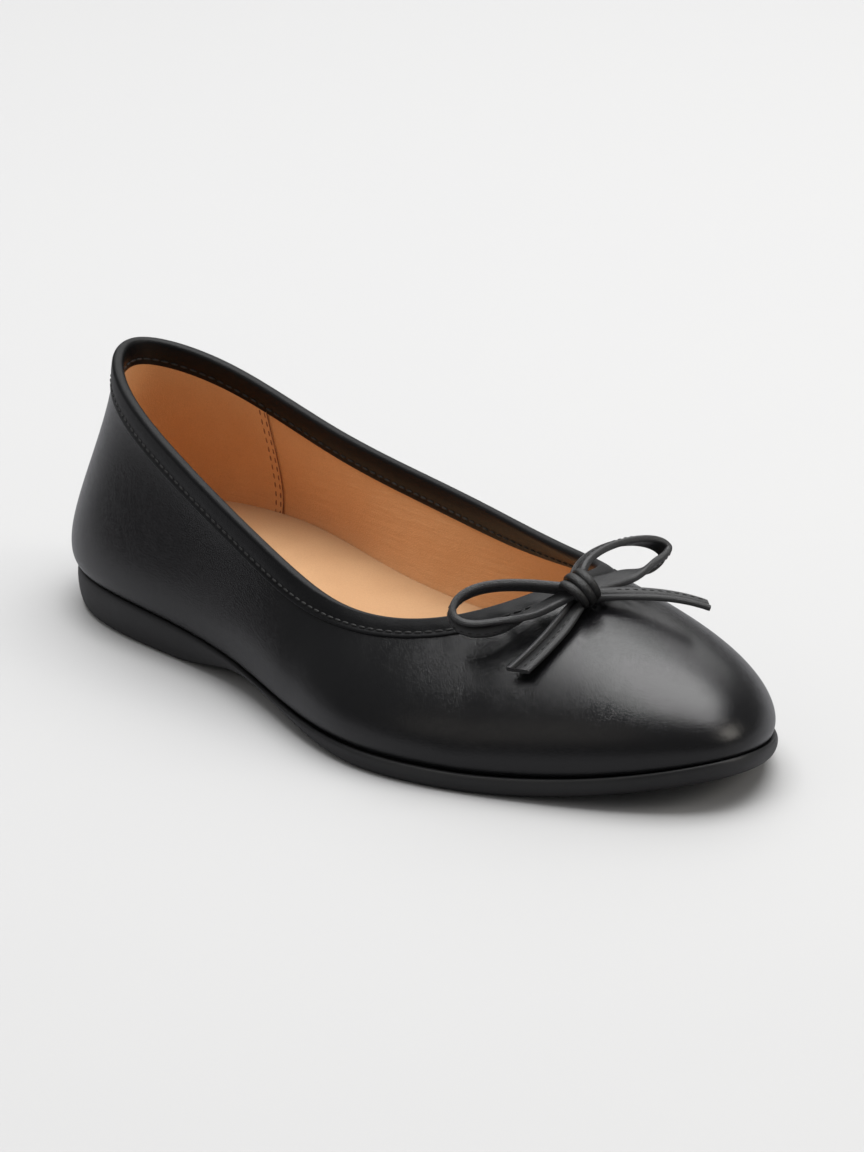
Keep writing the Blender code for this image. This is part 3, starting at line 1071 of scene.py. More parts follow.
@dataclass
class Upper:
    """Leather, lining and heel lining, sewn and lasted over the form."""

    wall: Wall
    leather_thickness: float = 0.0010
    face_rows: int = 72
    hidden_rows: int = 6
    edge_under_tape: float = 0.0013
    row_crowding: float = 1.35
    ply_gap: float = 0.00004
    counter_thickness: float = 0.00036
    counter_below: float = 0.0063
    counter_overlap: float = 0.00005
    counter_stitch_lift: float = 0.00003
    counter_cord: float = 0.00016
    counter_edges: dict[Side, float] = field(
        default_factory=lambda: {Side.LATERAL: 0.1115, Side.MEDIAL: 0.8885}
    )
    counter_span: tuple[float, float] = (0.10, 0.90)
    counter_bow: float = 0.0055
    counter_round: float = 0.56
    counter_rows: tuple[float, float] = (0.0011, 0.0032)
    counter_columns: int = 120
    counter_steps: int = 40

    def relief(self, turn: Array, share: Array) -> Array:
        """Lift of the leather at its folds.

        Args:
            turn: shares of the way round.
            share: shares of the way up.

        Returns:
            Lifts, negative in a trough.
        """
        length = self.wall.length_at(turn)
        round_length = travelled(closed_ring(self.wall.points[:, self.wall.samples // 2]))[-1]
        lift = np.zeros(np.broadcast(turn, share).shape)
        for fold in FOLDS:
            right = (turn - fold.turn) * round_length
            up = fold.below - (1 - share) * length
            a = right * cos(radians(fold.slant)) + up * sin(radians(fold.slant))
            b = up * cos(radians(fold.slant)) - right * sin(radians(fold.slant))
            lift = lift - fold.deep * hump(a, 0, fold.long) * hump(b, 0, fold.wide)
        fade = ease(share, 0.06, 0.2) * (1 - ease(share, 0.9, 1.0))
        return lift * fade

    def ply(self, name: str, material: bpy.types.Material, rows: list[Array]) -> None:
        """Closes one layer of the wall and adds it.

        Args:
            name: the layer's name.
            material: its finish.
            rows: its outer face from the seam up, then its inner face from the collar down.
        """
        net = np.concatenate([*rows, rows[0][:1]])
        add_piece(bend_grid(net), name, material, ("upper",))

    def rises(self, outer_rows: int, inner_rows: int) -> tuple[Array, Array, Array, Array]:
        """Places the rows of a layer that ends under the tape.

        Args:
            outer_rows: faces up its outer side.
            inner_rows: faces down its inner side.

        Returns:
            The turns, the outer rows and the inner rows as shares of the layer's rise, and the
            share of the rib where the layer ends.
        """
        turn = np.linspace(0, 1, self.wall.columns + 1)[None, :]
        top = 1 - self.edge_under_tape / self.wall.length_at(turn)
        outer = np.linspace(0, 1, outer_rows + 1)[:, None]
        return turn, outer, np.linspace(1, 0, inner_rows + 1)[:, None], top

    def leather(self, material: bpy.types.Material) -> None:
        """The outer leather, from the sole seam up into the binding.

        Args:
            material: its finish.
        """
        turn, outer, inner, top = self.rises(self.face_rows, self.hidden_rows)
        outer = outer**self.row_crowding * top
        rows = [
            self.wall.at(turn, outer, self.relief(turn, outer)),
            self.wall.at(turn, inner * top, -self.leather_thickness),
        ]
        self.ply("upper_leather", material, rows)

    def lining(self, material: bpy.types.Material) -> None:
        """The tan lining inside the leather.

        Args:
            material: its finish.
        """
        turn, outer, inner, top = self.rises(self.hidden_rows, self.face_rows // 2)
        rows = [
            self.wall.at(turn, outer * top, -self.leather_thickness - self.ply_gap),
            self.wall.at(turn, inner * top, -self.wall.last.wall),
        ]
        self.ply("lining", material, rows)

    def counter_edge(self, side: Side, share: Array, back: float) -> Array:
        """Turns of the heel lining's front edge, or of a line this far behind it.

        Args:
            side: the side of the foot.
            share: shares of the way up the rib.
            back: distance behind the edge.

        Returns:
            The turns.
        """
        bow = self.counter_bow * 4 * share * (1 - share)
        return self.counter_edges[side] - side.value * (bow - back / self.counter_round)

    def counter(self, material: bpy.types.Material, thread: bpy.types.Material) -> None:
        """The heel lining: one more layer round the heel, sewn down at both front edges.

        Args:
            material: the lining's finish.
            thread: the stitches' finish, also on the burnished edges.
        """
        x = np.linspace(0, 1, self.counter_columns + 1)[None, :]
        rise = np.linspace(0, 1, self.counter_steps + 1)[:, None]
        low, high = self.counter_span
        share = low + (high - low) * rise
        for _ in range(2):
            lateral = self.counter_edge(Side.LATERAL, share, 0.0)
            medial = self.counter_edge(Side.MEDIAL, share, 0.0) - 1
            turn = medial + (lateral - medial) * x
            share = low + (high - self.counter_below / self.wall.length_at(turn)) * rise
        near = -self.wall.last.wall
        face = near - self.counter_thickness
        inner = self.wall.at(turn, share, face)
        outer = self.wall.at(turn, share, near + self.counter_overlap)
        mesh = bend_grid(inner)
        bend_grid(outer[:, ::-1], mesh)
        rims = [edge for edge in mesh.edges if edge.is_boundary]
        bmesh.ops.bridge_loops(mesh, edges=rims)
        add_piece(mesh, "heel_lining", material, sharp=0.5)
        sewn = mapped_mesh()
        tool = Stitches(pitch=0.0026, length=0.0017, width=0.00050, height=0.00034)
        for side, column in ((Side.LATERAL, -1), (Side.MEDIAL, 0)):
            line = share[:, column]
            for back in self.counter_rows:
                turns = self.counter_edge(side, line, back)
                path = self.wall.at(turns, line, face - self.counter_stitch_lift)
                normals = unit(self.wall.at(turns, line, face - MM) - path)
                tool.row(path, normals, sewn)
            self.burnish(inner[:, column], sewn)
        add_piece(sewn, "heel_lining_stitches", thread)

    def burnish(self, path: Array, mesh: bmesh.types.BMesh) -> None:
        """A fine dark bead along a raw edge.

        Args:
            path: the edge.
            mesh: the mesh that gains the bead.
        """
        along = unit(np.gradient(path, axis=0))
        aside = unit(np.cross(along, (0.0, 0.0, 1.0)))
        up = np.cross(aside, along)
        angle = np.linspace(0, 2 * pi, 9)[None, :, None]
        ring = aside[:, None] * np.cos(angle) + up[:, None] * np.sin(angle)
        bend_grid(path[:, None] + ring * self.counter_cord, mesh)
        close_ends(mesh)


@dataclass
class Binding:
    """Leather tape folded over the collar's edge and sewn through."""

    wall: Wall
    depth: float = TAPE_DEPTH
    half_width: float = 0.0015
    crest_height: float = 0.0013
    stitch_below: float = 0.0053
    stitch_lift: float = 0.00042
    pucker: float = 0.00016
    gather: float = 0.00010
    gather_lengths: tuple[float, float] = (4.3, 2.7)
    throat: tuple[float, float] = (0.49, 0.10)
    face_lift: float = 0.0014
    columns_per_stitch: int = 8
    stitches: Stitches = field(default_factory=lambda: Stitches(width=0.00062, height=0.00060))

    def section(self) -> Array:
        """Draws the tape's closed section.

        Returns:
            Its points, each a distance below the crest and a lift off the face.
        """
        middle = -self.wall.last.wall / 2
        angles = np.linspace(0, pi, 13)
        crest = [
            (self.crest_height * (1 - sin(angle)), middle + self.half_width * cos(angle))
            for angle in angles
        ]
        edge, row = self.depth, self.stitch_below
        leg = [
            (edge, -0.10 * MM),
            (edge + 0.04 * MM, 0.20 * MM),
            (edge - 0.10 * MM, 0.42 * MM),
            (edge - 0.60 * MM, 0.46 * MM),
            (row, 0.32 * MM),
            (row - 0.8 * MM, 0.52 * MM),
            (row - 2.0 * MM, 0.68 * MM),
            (row - 3.2 * MM, 0.66 * MM),
        ]
        inner_leg = [(below, 2 * middle - lift) for below, lift in reversed(leg)]
        hidden = [(1.6 * MM, 2 * middle + 0.10 * MM), (1.6 * MM, -0.10 * MM)]
        return rounded(np.array([*leg, *crest, *inner_leg, *hidden]), rounds=1, closed=True)

    def even_turns(self, count: int) -> Array:
        """Finds turns that are the same distance apart along the stitches.

        Args:
            count: how many.

        Returns:
            The turns, with the first again at the end.
        """
        turns = np.linspace(0, 1, 4 * self.wall.columns + 1)
        gone = travelled(self.wall.below(turns, self.stitch_below))
        return np.interp(np.linspace(0, gone[-1], count + 1), gone, turns)

    def stitch_count(self) -> int:
        """Counts the stitches that go round.

        Returns:
            How many there are.
        """
        turns = np.linspace(0, 1, self.wall.columns + 1)
        gone = travelled(self.wall.below(turns, self.stitch_below))
        return int(round(gone[-1] / self.stitches.pitch))

    def tape(self, material: bpy.types.Material) -> None:
        """The tape itself, pulled in at each stitch hole and lightly gathered at the throat.

        Args:
            material: its finish.
        """
        count = self.stitch_count()
        columns = count * self.columns_per_stitch
        turn = self.even_turns(columns)[None, :]
        section = closed_ring(self.section())
        below, lift = section[:, :1], section[:, 1:]
        middle = -self.wall.last.wall / 2
        outwards = np.sign(lift - middle)
        phase = np.arange(columns + 1)[None, :] / self.columns_per_stitch
        hole = 0.5 - 0.5 * np.cos(2 * pi * phase)
        faces = abs(lift - middle) > self.face_lift
        at_row = hump(below, self.stitch_below, 0.7 * MM) * faces
        throat = hump(turn, *self.throat)
        long, short = self.gather_lengths
        gathers = np.sin(2 * pi * phase / short) + 0.6 * np.sin(2 * pi * phase / long + 1.0)
        low = ease(below, 1.5 * MM, 4.5 * MM) * faces
        lift = lift - outwards * self.pucker * hole * at_row
        lift = lift + outwards * self.gather * throat * gathers * low * (outwards > 0)
        net = self.wall.below(turn, below, lift)
        tape = bend_grid(net)
        add_piece(tape, "binding_tape", material, ("collar_binding",))

    def thread(self, material: bpy.types.Material) -> None:
        """Both rows of stitches, outside and inside the collar.

        Args:
            material: its finish.
        """
        count = self.stitch_count()
        turns = self.even_turns(count)[:-1]
        middle = -self.wall.last.wall / 2
        for name, side in (("outer", 1.0), ("inner", -1.0)):
            sewn = mapped_mesh()
            lift = middle + side * (self.stitch_lift - middle)
            for turn in turns:
                spot, along, normal = self.wall.frame_at(turn, self.stitch_below, lift)
                self.stitches.sew(sewn, spot, along, normal * side)
            add_piece(sewn, f"binding_stitches_{name}", material)


@dataclass
class Insole:
    """Tan sock over its board, with a soft rolled rim against the lining."""

    wall: Wall
    columns: int = 480
    across: int = 28
    rim: float = 0.0008
    edge_drop: float = 0.35
    shoulder_in: float = 0.45
    shoulder_drop: float = 0.08
    rim_in: float = 1.3
    dish: float = 0.0006
    crown: float = 0.0004
    lining_gap: float = 0.00006

    def sock(self, material: bpy.types.Material) -> None:
        """The whole insole as one closed piece.

        Args:
            material: its finish.
        """
        last = self.wall.last
        turn = np.arange(self.columns) / self.columns
        touch = -(last.wall + self.lining_gap)
        bottom = self.wall.above_floor(turn, 2 * last.gap, touch - last.gap)
        side = self.wall.above_floor(turn, last.insole - self.rim, touch)
        edge = self.wall.above_floor(turn, last.insole - self.rim * self.edge_drop, touch)
        top = self.wall.above_floor(turn, last.insole, touch)
        middle = top.mean(axis=0)
        inwards = unit(middle * (1, 0, 1) + (top - middle) * (0.75, 0, 0) - top)
        inwards[:, 2] = 0
        shoulder = top + inwards * self.rim * self.shoulder_in
        shoulder = shoulder - (0, 0, self.rim * self.shoulder_drop)
        inner = top + inwards * self.rim * self.rim_in
        corners = np.stack([bottom, side, edge, shoulder, inner])
        rings = rounded(corners.reshape(len(corners), -1)).reshape(-1, self.columns, 3)
        rings = closed_ring(rings, axis=1)

        def height(net: Array) -> Array:
            """Dishes the sock's top under the heel and crowns it under the ball.

            Args:
                net: places as [row, column, xyz].

            Returns:
                Their heights.
            """
            share = last.along_share(net[:, :, 0])
            t = np.linspace(-1, 1, net.shape[1])[None, :]
            bump = self.crown * ease(share, 0.45, 0.7) - self.dish * (1 - ease(share, 0.2, 0.45))
            ends = ease(share, 0.02, 0.12) * (1 - ease(share, 0.85, 0.97))
            return net[:, :, 2] + bump * (1 - t**2) * ends

        mesh = bend_grid(rings)
        bend_grid(ladder(rings[-1, :-1], self.across, height), mesh)
        bend_grid(ladder(rings[0, :-1], self.across)[:, ::-1], mesh)
        add_piece(mesh, "insole_sock", material, ("insole",))


@dataclass
class Outsole:
    """Moulded rubber sole: rounded side, lip round the upper and a fine ribbed tread."""

    last: Last
    columns: int = 960
    across: int = 44
    border: float = 0.0058
    tip_rounding: float = 0.55
    groove: float = 0.0007
    rib_pitch: float = 0.0034
    rib_wave: float = 0.0012
    wave_length: float = 0.0110
    border_steps: tuple[tuple[float, float], ...] = ((0.0, 0.0), (0.0003, 0.5), (0.0006, 1.0))

    def profile(self) -> Array:
        """Draws the side, from the tread up to the floor inside the lip.

        Returns:
            Its points: inset in lip widths, share of the thickness and lift in lip heights.
        """
        corners = [
            (2.10, 0.00, 0.0),
            (1.25, 0.02, 0.0),
            (0.62, 0.13, 0.0),
            (0.20, 0.36, 0.0),
            (0.00, 0.64, 0.0),
            (0.08, 0.86, 0.0),
            (0.34, 0.98, 0.0),
            (0.66, 1.00, 0.02),
            (0.98, 1.00, 0.00),
            (1.30, 1.00, -0.16),
            (2.40, 1.00, -0.32),
        ]
        return rounded(np.array(corners), rounds=2)

    def tread(self, net: Array) -> Array:
        """Height of the underside inside the border, with its ribs under heel and ball.

        Args:
            net: places as [row, column, xyz].

        Returns:
            Their heights.
        """
        x, y = net[:, :, 0], net[:, :, 1]
        share = self.last.along_share(x)
        wave = x + self.rib_wave * np.sin(2 * pi * y / self.wave_length)
        rib = np.clip(0.5 + 1.3 * np.sin(2 * pi * wave / self.rib_pitch), 0, 1)
        heel = ease(share, 0.03, 0.05) * (1 - ease(share, 0.25, 0.27))
        ball = ease(share, 0.52, 0.54) * (1 - ease(share, 0.95, 0.97))
        return self.last.underside(x, y) + self.groove * (1 - rib * (heel + ball))

    def sole(self, material: bpy.types.Material) -> None:
        """The whole sole as one closed piece.

        Args:
            material: its finish.
        """
        last = self.last
        line = last.outline(self.columns)
        normal = last.outward(line)
        rings = []
        tip = ease(last.along_share(line[:, 0]), 0.80, 1.0)[:, None]
        for inset, share, lift in self.profile():
            tucked = inset * (1 + self.tip_rounding * tip * (1 - share))
            plan = line - normal * tucked * last.lip_width
            low = last.underside(plan[:, 0], plan[:, 1])
            high = last.sole_edge(plan[:, 0])
            height = low + (high - low) * share + lift * last.lip_height
            rings.append(np.column_stack([plan, height]))
        for inwards, rise in self.border_steps:
            plan = line - normal * (self.border + inwards)
            low = last.underside(plan[:, 0], plan[:, 1]) + self.groove * rise
            rings.insert(0, np.column_stack([plan, low]))
        net = closed_ring(np.array(rings), axis=1)
        mesh = bend_grid(net)
        under = ladder(net[0, :-1], self.across, self.tread)
        bend_grid(under[:, ::-1], mesh)
        bend_grid(ladder(net[-1, :-1], 8), mesh)
        add_piece(mesh, "outsole_rubber", material, ("outsole",))


@dataclass(frozen=True)
class Loop:
    """A loop of the bow from the knot to its far end, in shares of the reach.

    below is the opening of the lower run as a share of the upper one's, the fullness is lower
    where a run leaves the knot more steeply, drawn pulls the upper run's crest towards the knot,
    and the twist turns the strap's outer face towards the toe, in degrees, at places from -1, the
    lower end, to 1, the upper end.
    """

    name: str
    forward: float
    medial: float
    up: float
    opening: float
    below: float
    fullness: float
    drawn: float
    twist: tuple[tuple[float, float], ...]


@dataclass(frozen=True)
class Station:
    """A pole of a tail's curve.

    turn is counted from the knot, down in tail reaches and lift in strap thicknesses.
    """

    turn: float
    down: float
    lift: float


@dataclass(frozen=True)
class Tail:
    """A free end of the bow, with the slant of its cut."""

    name: str
    slant: float
    stations: tuple[Station, ...]


LOOPS = (
    Loop(
        "bow_loop_lateral", -0.45, -0.82, -0.13, 0.325, 0.95, 0.70, 0.0,
        ((-1.0, -58), (-0.72, -46), (-0.38, 34), (0.0, 8), (0.40, 0), (0.75, -2), (1.0, -14)),
    ),
    Loop(
        "bow_loop_medial", -0.28, 0.99, 0.03, 0.345, 0.42, 0.27, 0.15,
        ((-1.0, -76), (-0.62, -66), (-0.32, 10), (0.0, 4), (0.40, 24), (0.75, 20), (1.0, 28)),
    ),
)

TAILS = (
    Tail(
        "bow_tail_lateral",
        0.42,
        (
            Station(-0.0040, 0.08, 1.5),
            Station(-0.031, 0.40, 0.95),
            Station(-0.046, 0.56, 1.0),
            Station(-0.061, 0.76, 1.5),
        ),
    ),
    Tail(
        "bow_tail_medial",
        0.10,
        (
            Station(0.0040, 0.02, 1.4),
            Station(0.038, 0.38, 2.3),
            Station(0.055, 0.69, 3.3),
            Station(0.068, 1.00, 3.5),
        ),
    ),
)


@dataclass
class Bow:
    """Bow of folded leather strap, tied by three turns at its middle."""

    wall: Wall
    strap_thickness: float = 0.0018
    knot_radius: float = 0.0038
    knot_half_length: float = 0.0036
    loop_reach: float = 0.0320
    tail_reach: float = 0.0200
    knot_turn: float = 0.4913
    ridge: float = 1.06
    loop_taper: float = 0.75
    loop_spread: float = 0.7
    loop_root: float = 0.35
    loop_pinch: float = 0.14
    loop_end_bias: float = 0.2
    face: float = 0.0046
    edge: float = 0.0021
    squareness: tuple[float, float] = (0.60, 0.62)
    seam_place: float = 0.14
    seam_groove: float = 0.00048
    seam_half_width: float = 0.00024
    piping: float = 0.00032
    piping_place: float = 0.62
    section_points: int = 48
    loop_steps: int = 128
    tail_steps: int = 64
    tail_breadth: float = 1.20
    tail_thinness: float = 0.80
    knot_axis: tuple[float, float, float] = (0.04, 0.89, 0.456)
    band_places: tuple[float, ...] = (-0.0021, 0.0, 0.0021)
    band_radii: tuple[float, ...] = (0.0047, 0.0051, 0.0048)
    band_tilts: tuple[float, ...] = (5.0, -2.0, -7.0)
    band_half_width: float = 0.00122
    band_half_depth: float = 0.00085
    band_sides: int = 16
    band_steps: int = 64
    tilt_axis: tuple[float, float, float] = (0.7, 0.0, 0.7)
    core_inset: float = 1.4
    core_length: float = 1.35
    rest_below: float = 0.011
    flattening: float = 0.84
    row_place: float = -0.20
    row_lift: float = 0.43
    loop_row: tuple[int, int] = (14, -14)
    tail_row: tuple[int, int] = (12, -3)
    stitches: Stitches = field(
        default_factory=lambda: Stitches(
            pitch=0.0020, length=0.0012, width=0.00038, height=0.00026, sides=6, steps=4
        )
    )
    sewn: bmesh.types.BMesh = field(default_factory=mapped_mesh)

    def knot_place(self) -> Array:
        """Finds the middle of the knot, which rests on the vamp in front of the binding.

        Returns:
            The place.
        """
        last = self.wall.last
        below = TAPE_DEPTH + self.knot_radius + last.gap
        lift = self.knot_radius * self.ridge + last.gap
        return self.wall.below(np.array([self.knot_turn]), below, lift)[0]

    def strap_section(self) -> Array:
        """The folded strap's section: piped edges, and a closing seam off its middle.

        Returns:
            Its points, across and through the strap, from the seam round to the seam.
        """
        half, thick = self.face / 2, self.edge / 2
        start = np.arccos(self.seam_place)
        angle = start + np.arange(self.section_points) / self.section_points * 2 * pi
        x = half * np.sign(np.cos(angle)) * abs(np.cos(angle)) ** self.squareness[0]
        y = thick * np.sign(np.sin(angle)) * abs(np.sin(angle)) ** self.squareness[1]
        flat = y / thick * self.piping
        y = y - flat * hump(x, 0, self.piping_place * half)
        groove = self.seam_groove * hump(x, x[0], self.seam_half_width)
        return np.column_stack([x, y - np.sign(y) * groove * (y > 0)])

    def faces(self, path: Array, width_axis: Array) -> tuple[Array, Array, Array]:
        """Finds how a strap lies along its path.

        Args:
            path: its middle line.
            width_axis: roughly its broad direction at each point.

        Returns:
            Directions along it, across it and out of its outer face at each point.
        """
        along = unit(np.gradient(path, axis=0))
        broad = unit(width_axis - along * np.sum(width_axis * along, axis=1, keepdims=True))
        return along, broad, np.cross(broad, along)

    def strap_row(
        self, path: Array, width_axis: Array, thin: float, shown: tuple[int, int]
    ) -> None:
        """A row of fine stitches on a strap's outer face.

        Args:
            path: the strap's middle line.
            width_axis: its broad direction at each point.
            thin: its share of the full thickness.
            shown: the first and last of its points that the row lies between.
        """
        _, broad, out = self.faces(path, width_axis)
        line = path + broad * self.face * self.row_place + out * self.edge * self.row_lift * thin
        self.stitches.row(line[slice(*shown)], out[slice(*shown)], self.sewn)

    def sweep(
        self, path: Array, width_axis: Array, size: Array, slant: float = 0.0
    ) -> bmesh.types.BMesh:
        """A strap along a path.

        Args:
            path: its middle line.
            width_axis: its broad direction at each point.
            size: its share of the full width and thickness at each point, two columns.
            slant: how far its far end is cut out of square.

        Returns:
            The closed mesh.
        """
        along, broad, thin = self.faces(path, width_axis)
        section = closed_ring(self.strap_section())
        x = section[None, :, :1] * size[:, None, :1]
        y = section[None, :, 1:] * size[:, None, 1:]
        net = path[:, None] + broad[:, None] * x + thin[:, None] * y
        skew = slant * ease(np.linspace(0, 1, len(path)), 0.60, 1.0)[:, None, None]
        net = net + along[:, None] * x * skew
        mesh = bend_grid(net)
        close_ends(mesh)
        return mesh

    def loop(self, loop: Loop, material: bpy.types.Material) -> None:
        """A teardrop of strap that leans back against the throat and twists as it goes round.

        Args:
            loop: its shape.
            material: its finish.
        """
        reach = np.array((loop.forward, loop.medial, loop.up)) * self.loop_reach
        length = np.linalg.norm(reach)
        axis = reach / length
        lean = unit(np.array([-1.0, 0.0, 1.0]))
        upright = unit(lean - axis * (lean @ axis))
        front = np.cross(axis, upright)
        front = front * np.sign(front[0] + front[2])
        start = self.loop_root * self.knot_half_length / length
        widest = np.arccos(2 * start - 1)
        place = np.linspace(-1, 1, self.loop_steps)
        swing = (place * widest)[:, None]
        share = (1 + np.cos(swing)) / 2
        opening = self.loop_reach * loop.opening * self.loop_spread
        opening = opening * np.where(swing < 0, loop.below, 1.0)
        fullness = np.where(swing < 0, self.loop_taper, loop.fullness)
        drawn = loop.drawn * np.where(swing > 0, np.sin(swing) ** 2, 0.0)
        path = self.knot_place() + axis * length * (share - drawn)
        path = path + upright * opening * np.sin(swing) * share**fullness
        twist = np.full(self.loop_steps, loop.twist[0][1], float)
        for (here, angle), (ahead, next_angle) in zip(loop.twist, loop.twist[1:]):
            twist = twist + (next_angle - angle) * ease(place, here, ahead)
        twist = np.radians(twist)[:, None]
        along = unit(np.gradient(path, axis=0))
        outward = np.cross(along, front)
        away = upright * np.sin(swing) + axis * self.loop_end_bias
        outward = outward * np.sign(np.sum(outward * away, axis=1))[:, None]
        broad = np.cross(along, outward * np.cos(twist) + front * np.sin(twist))
        pinch = 1 - self.loop_pinch * (1 - ease(share, 0.04, 0.25))
        mesh = self.sweep(path, broad, np.column_stack([pinch, pinch]))
        add_piece(mesh, f"{loop.name}_strap", material, (loop.name,))
        self.strap_row(path, broad, 1.0, self.loop_row)

    def pole(self, station: Station, raised: int) -> Array:
        """Places a pole of a tail's curve.

        Args:
            station: the pole.
            raised: 1 for its own height, 0 for its foot on the vamp.

        Returns:
            The place.
        """
        turn = np.array([self.knot_turn + station.turn])
        start = TAPE_DEPTH + self.knot_radius + self.wall.last.gap
        lift = station.lift * self.strap_thickness * raised
        return self.wall.below(turn, start + station.down * self.tail_reach, lift)[0]

    def tail(self, tail: Tail, material: bpy.types.Material) -> None:
        """A free end of the strap, cut at a slant, which follows the vamp at some height.

        Args:
            tail: its curve and its cut.
            material: its finish.
        """
        over, under = (
            bezier(np.array([self.pole(place, raised) for place in tail.stations]), self.tail_steps)
            for raised in (1, 0)
        )
        broad = np.cross(np.gradient(over, axis=0), over - under)
        t = np.linspace(0, 1, self.tail_steps)
        wide = self.tail_breadth * (0.78 + 0.22 * ease(t, 0.0, 0.35))
        size = np.column_stack([wide, np.full(self.tail_steps, self.tail_thinness)])
        mesh = self.sweep(over, broad, size, tail.slant)
        add_piece(mesh, f"{tail.name}_strap", material, (tail.name,))
        self.strap_row(over, broad, self.tail_thinness, self.tail_row)

    def knot(self, material: bpy.types.Material) -> None:
        """Three turns of strap round the middle, each a spun band, over a soft core.

        Args:
            material: its finish.
        """
        mesh = mapped_mesh()
        for place, radius, tilt in zip(self.band_places, self.band_radii, self.band_tilts):
            ring = bmesh.ops.create_circle(mesh, segments=self.band_sides, radius=1.0)["verts"]
            for vert in ring:
                out = radius + self.band_half_depth * (vert.co.y - 1)
                vert.co = Vector((out, vert.co.x * self.band_half_width, 0))
            edges = list({edge for vert in ring for edge in vert.link_edges})
            bmesh.ops.spin(
                mesh,
                geom=[*ring, *edges],
                cent=(0, 0, 0),
                axis=(0, 1, 0),
                angle=2 * pi,
                steps=self.band_steps,
                use_merge=True,
                use_duplicate=False,
            )
            fresh = [vert for vert in mesh.verts if not vert.tag]
            askew = Matrix.Rotation(radians(tilt), 3, self.tilt_axis)
            bmesh.ops.rotate(mesh, verts=fresh, cent=(0, 0, 0), matrix=askew)
            bmesh.ops.translate(mesh, verts=fresh, vec=(0, place, 0))
            for vert in fresh:
                vert.tag = True
        core = self.band_radii[0] - self.core_inset * self.band_half_depth
        bmesh.ops.create_uvsphere(
            mesh,
            u_segments=32,
            v_segments=16,
            radius=1.0,
            matrix=Matrix.Diagonal((core, self.core_length * self.band_places[-1], core, 1)),
            calc_uvs=True,
        )
        bmesh.ops.remove_doubles(mesh, verts=mesh.verts, dist=MERGE)
        axis = Vector(self.knot_axis).normalized()
        normal = Vector(self.wall.frame_at(self.knot_turn, self.rest_below, 0.0)[2])
        turned = Vector((0, 1, 0)).rotation_difference(axis).to_matrix()
        bmesh.ops.rotate(mesh, verts=mesh.verts, cent=(0, 0, 0), matrix=turned)
        middle = Vector(self.knot_place())
        bmesh.ops.translate(mesh, verts=mesh.verts, vec=middle)
        for vert in mesh.verts:
            height = (vert.co - middle).dot(normal)
            vert.co -= normal * height * (1 - self.flattening)
        add_piece(mesh, "bow_knot_turns", material, ("bow_knot",))


@dataclass(frozen=True)
class Camera:
    """The photograph's camera, fitted to the shoe's outline, then turned and zoomed to the shoe."""

    heading: float = PHOTO_HEADING
    tilt: float = 16.753
    roll: float = -1.5465
    distance: float = 1.6692
    lens_mm: float = 162.66
    sensor_mm: float = 36.0
    aim: tuple[float, float, float] = (-0.000158, 0.000462, 0.020)
    aim_right: float = -0.0453
    aim_up: float = -0.0352
    closer: float = 1.33
    centre_right: float = 0.0100
    centre_up: float = -0.0040
    clip: tuple[float, float] = (0.01, 50.0)

    def place(self) -> None:
        """Adds the camera and makes it the scene's."""
        h, e, o = radians(self.heading), radians(self.tilt), radians(self.roll)
        right = Vector((cos(h), sin(h), 0))
        forward = Vector((-sin(h) * cos(e), cos(h) * cos(e), -sin(e)))
        up = Vector((-sin(h) * sin(e), cos(h) * sin(e), cos(e)))
        aim = Vector(self.aim) - right * self.aim_right - up * self.aim_up
        spot = aim - forward * self.distance
        rolled_right = right * cos(o) + up * sin(o)
        rolled_up = up * cos(o) - right * sin(o)
        turned = Matrix((rolled_right, rolled_up, -forward)).transposed()
        low, high = CAD_BOX
        middle = (low + high) / 2 + right * self.centre_right + up * self.centre_up
        towards = (middle - spot).normalized()
        turned = forward.rotation_difference(towards).to_matrix() @ turned
        data = bpy.data.cameras.new("photo_camera")
        data.sensor_width = self.sensor_mm
        data.lens = self.lens_mm * self.closer
        data.clip_start, data.clip_end = self.clip
        camera = bpy.data.objects.new("photo_camera", data)
        camera.matrix_world = Matrix.Translation(spot) @ turned.to_4x4()
        bpy.context.scene.collection.objects.link(camera)
        bpy.context.scene.camera = camera


@dataclass(frozen=True)
class Softbox:
    """A soft rectangular light aimed at the shoe.

    Its place is counted from the shoe to the photograph's right, away from the camera and up. One
    that isn't mirrored lights the paper and the lining but makes no highlight.
    """

    name: str
    right: float
    away: float
    up: float
    width: float
    depth: float
    watts: float
    tint: Colour = (1.0, 1.0, 1.0)
    mirrored: bool = True


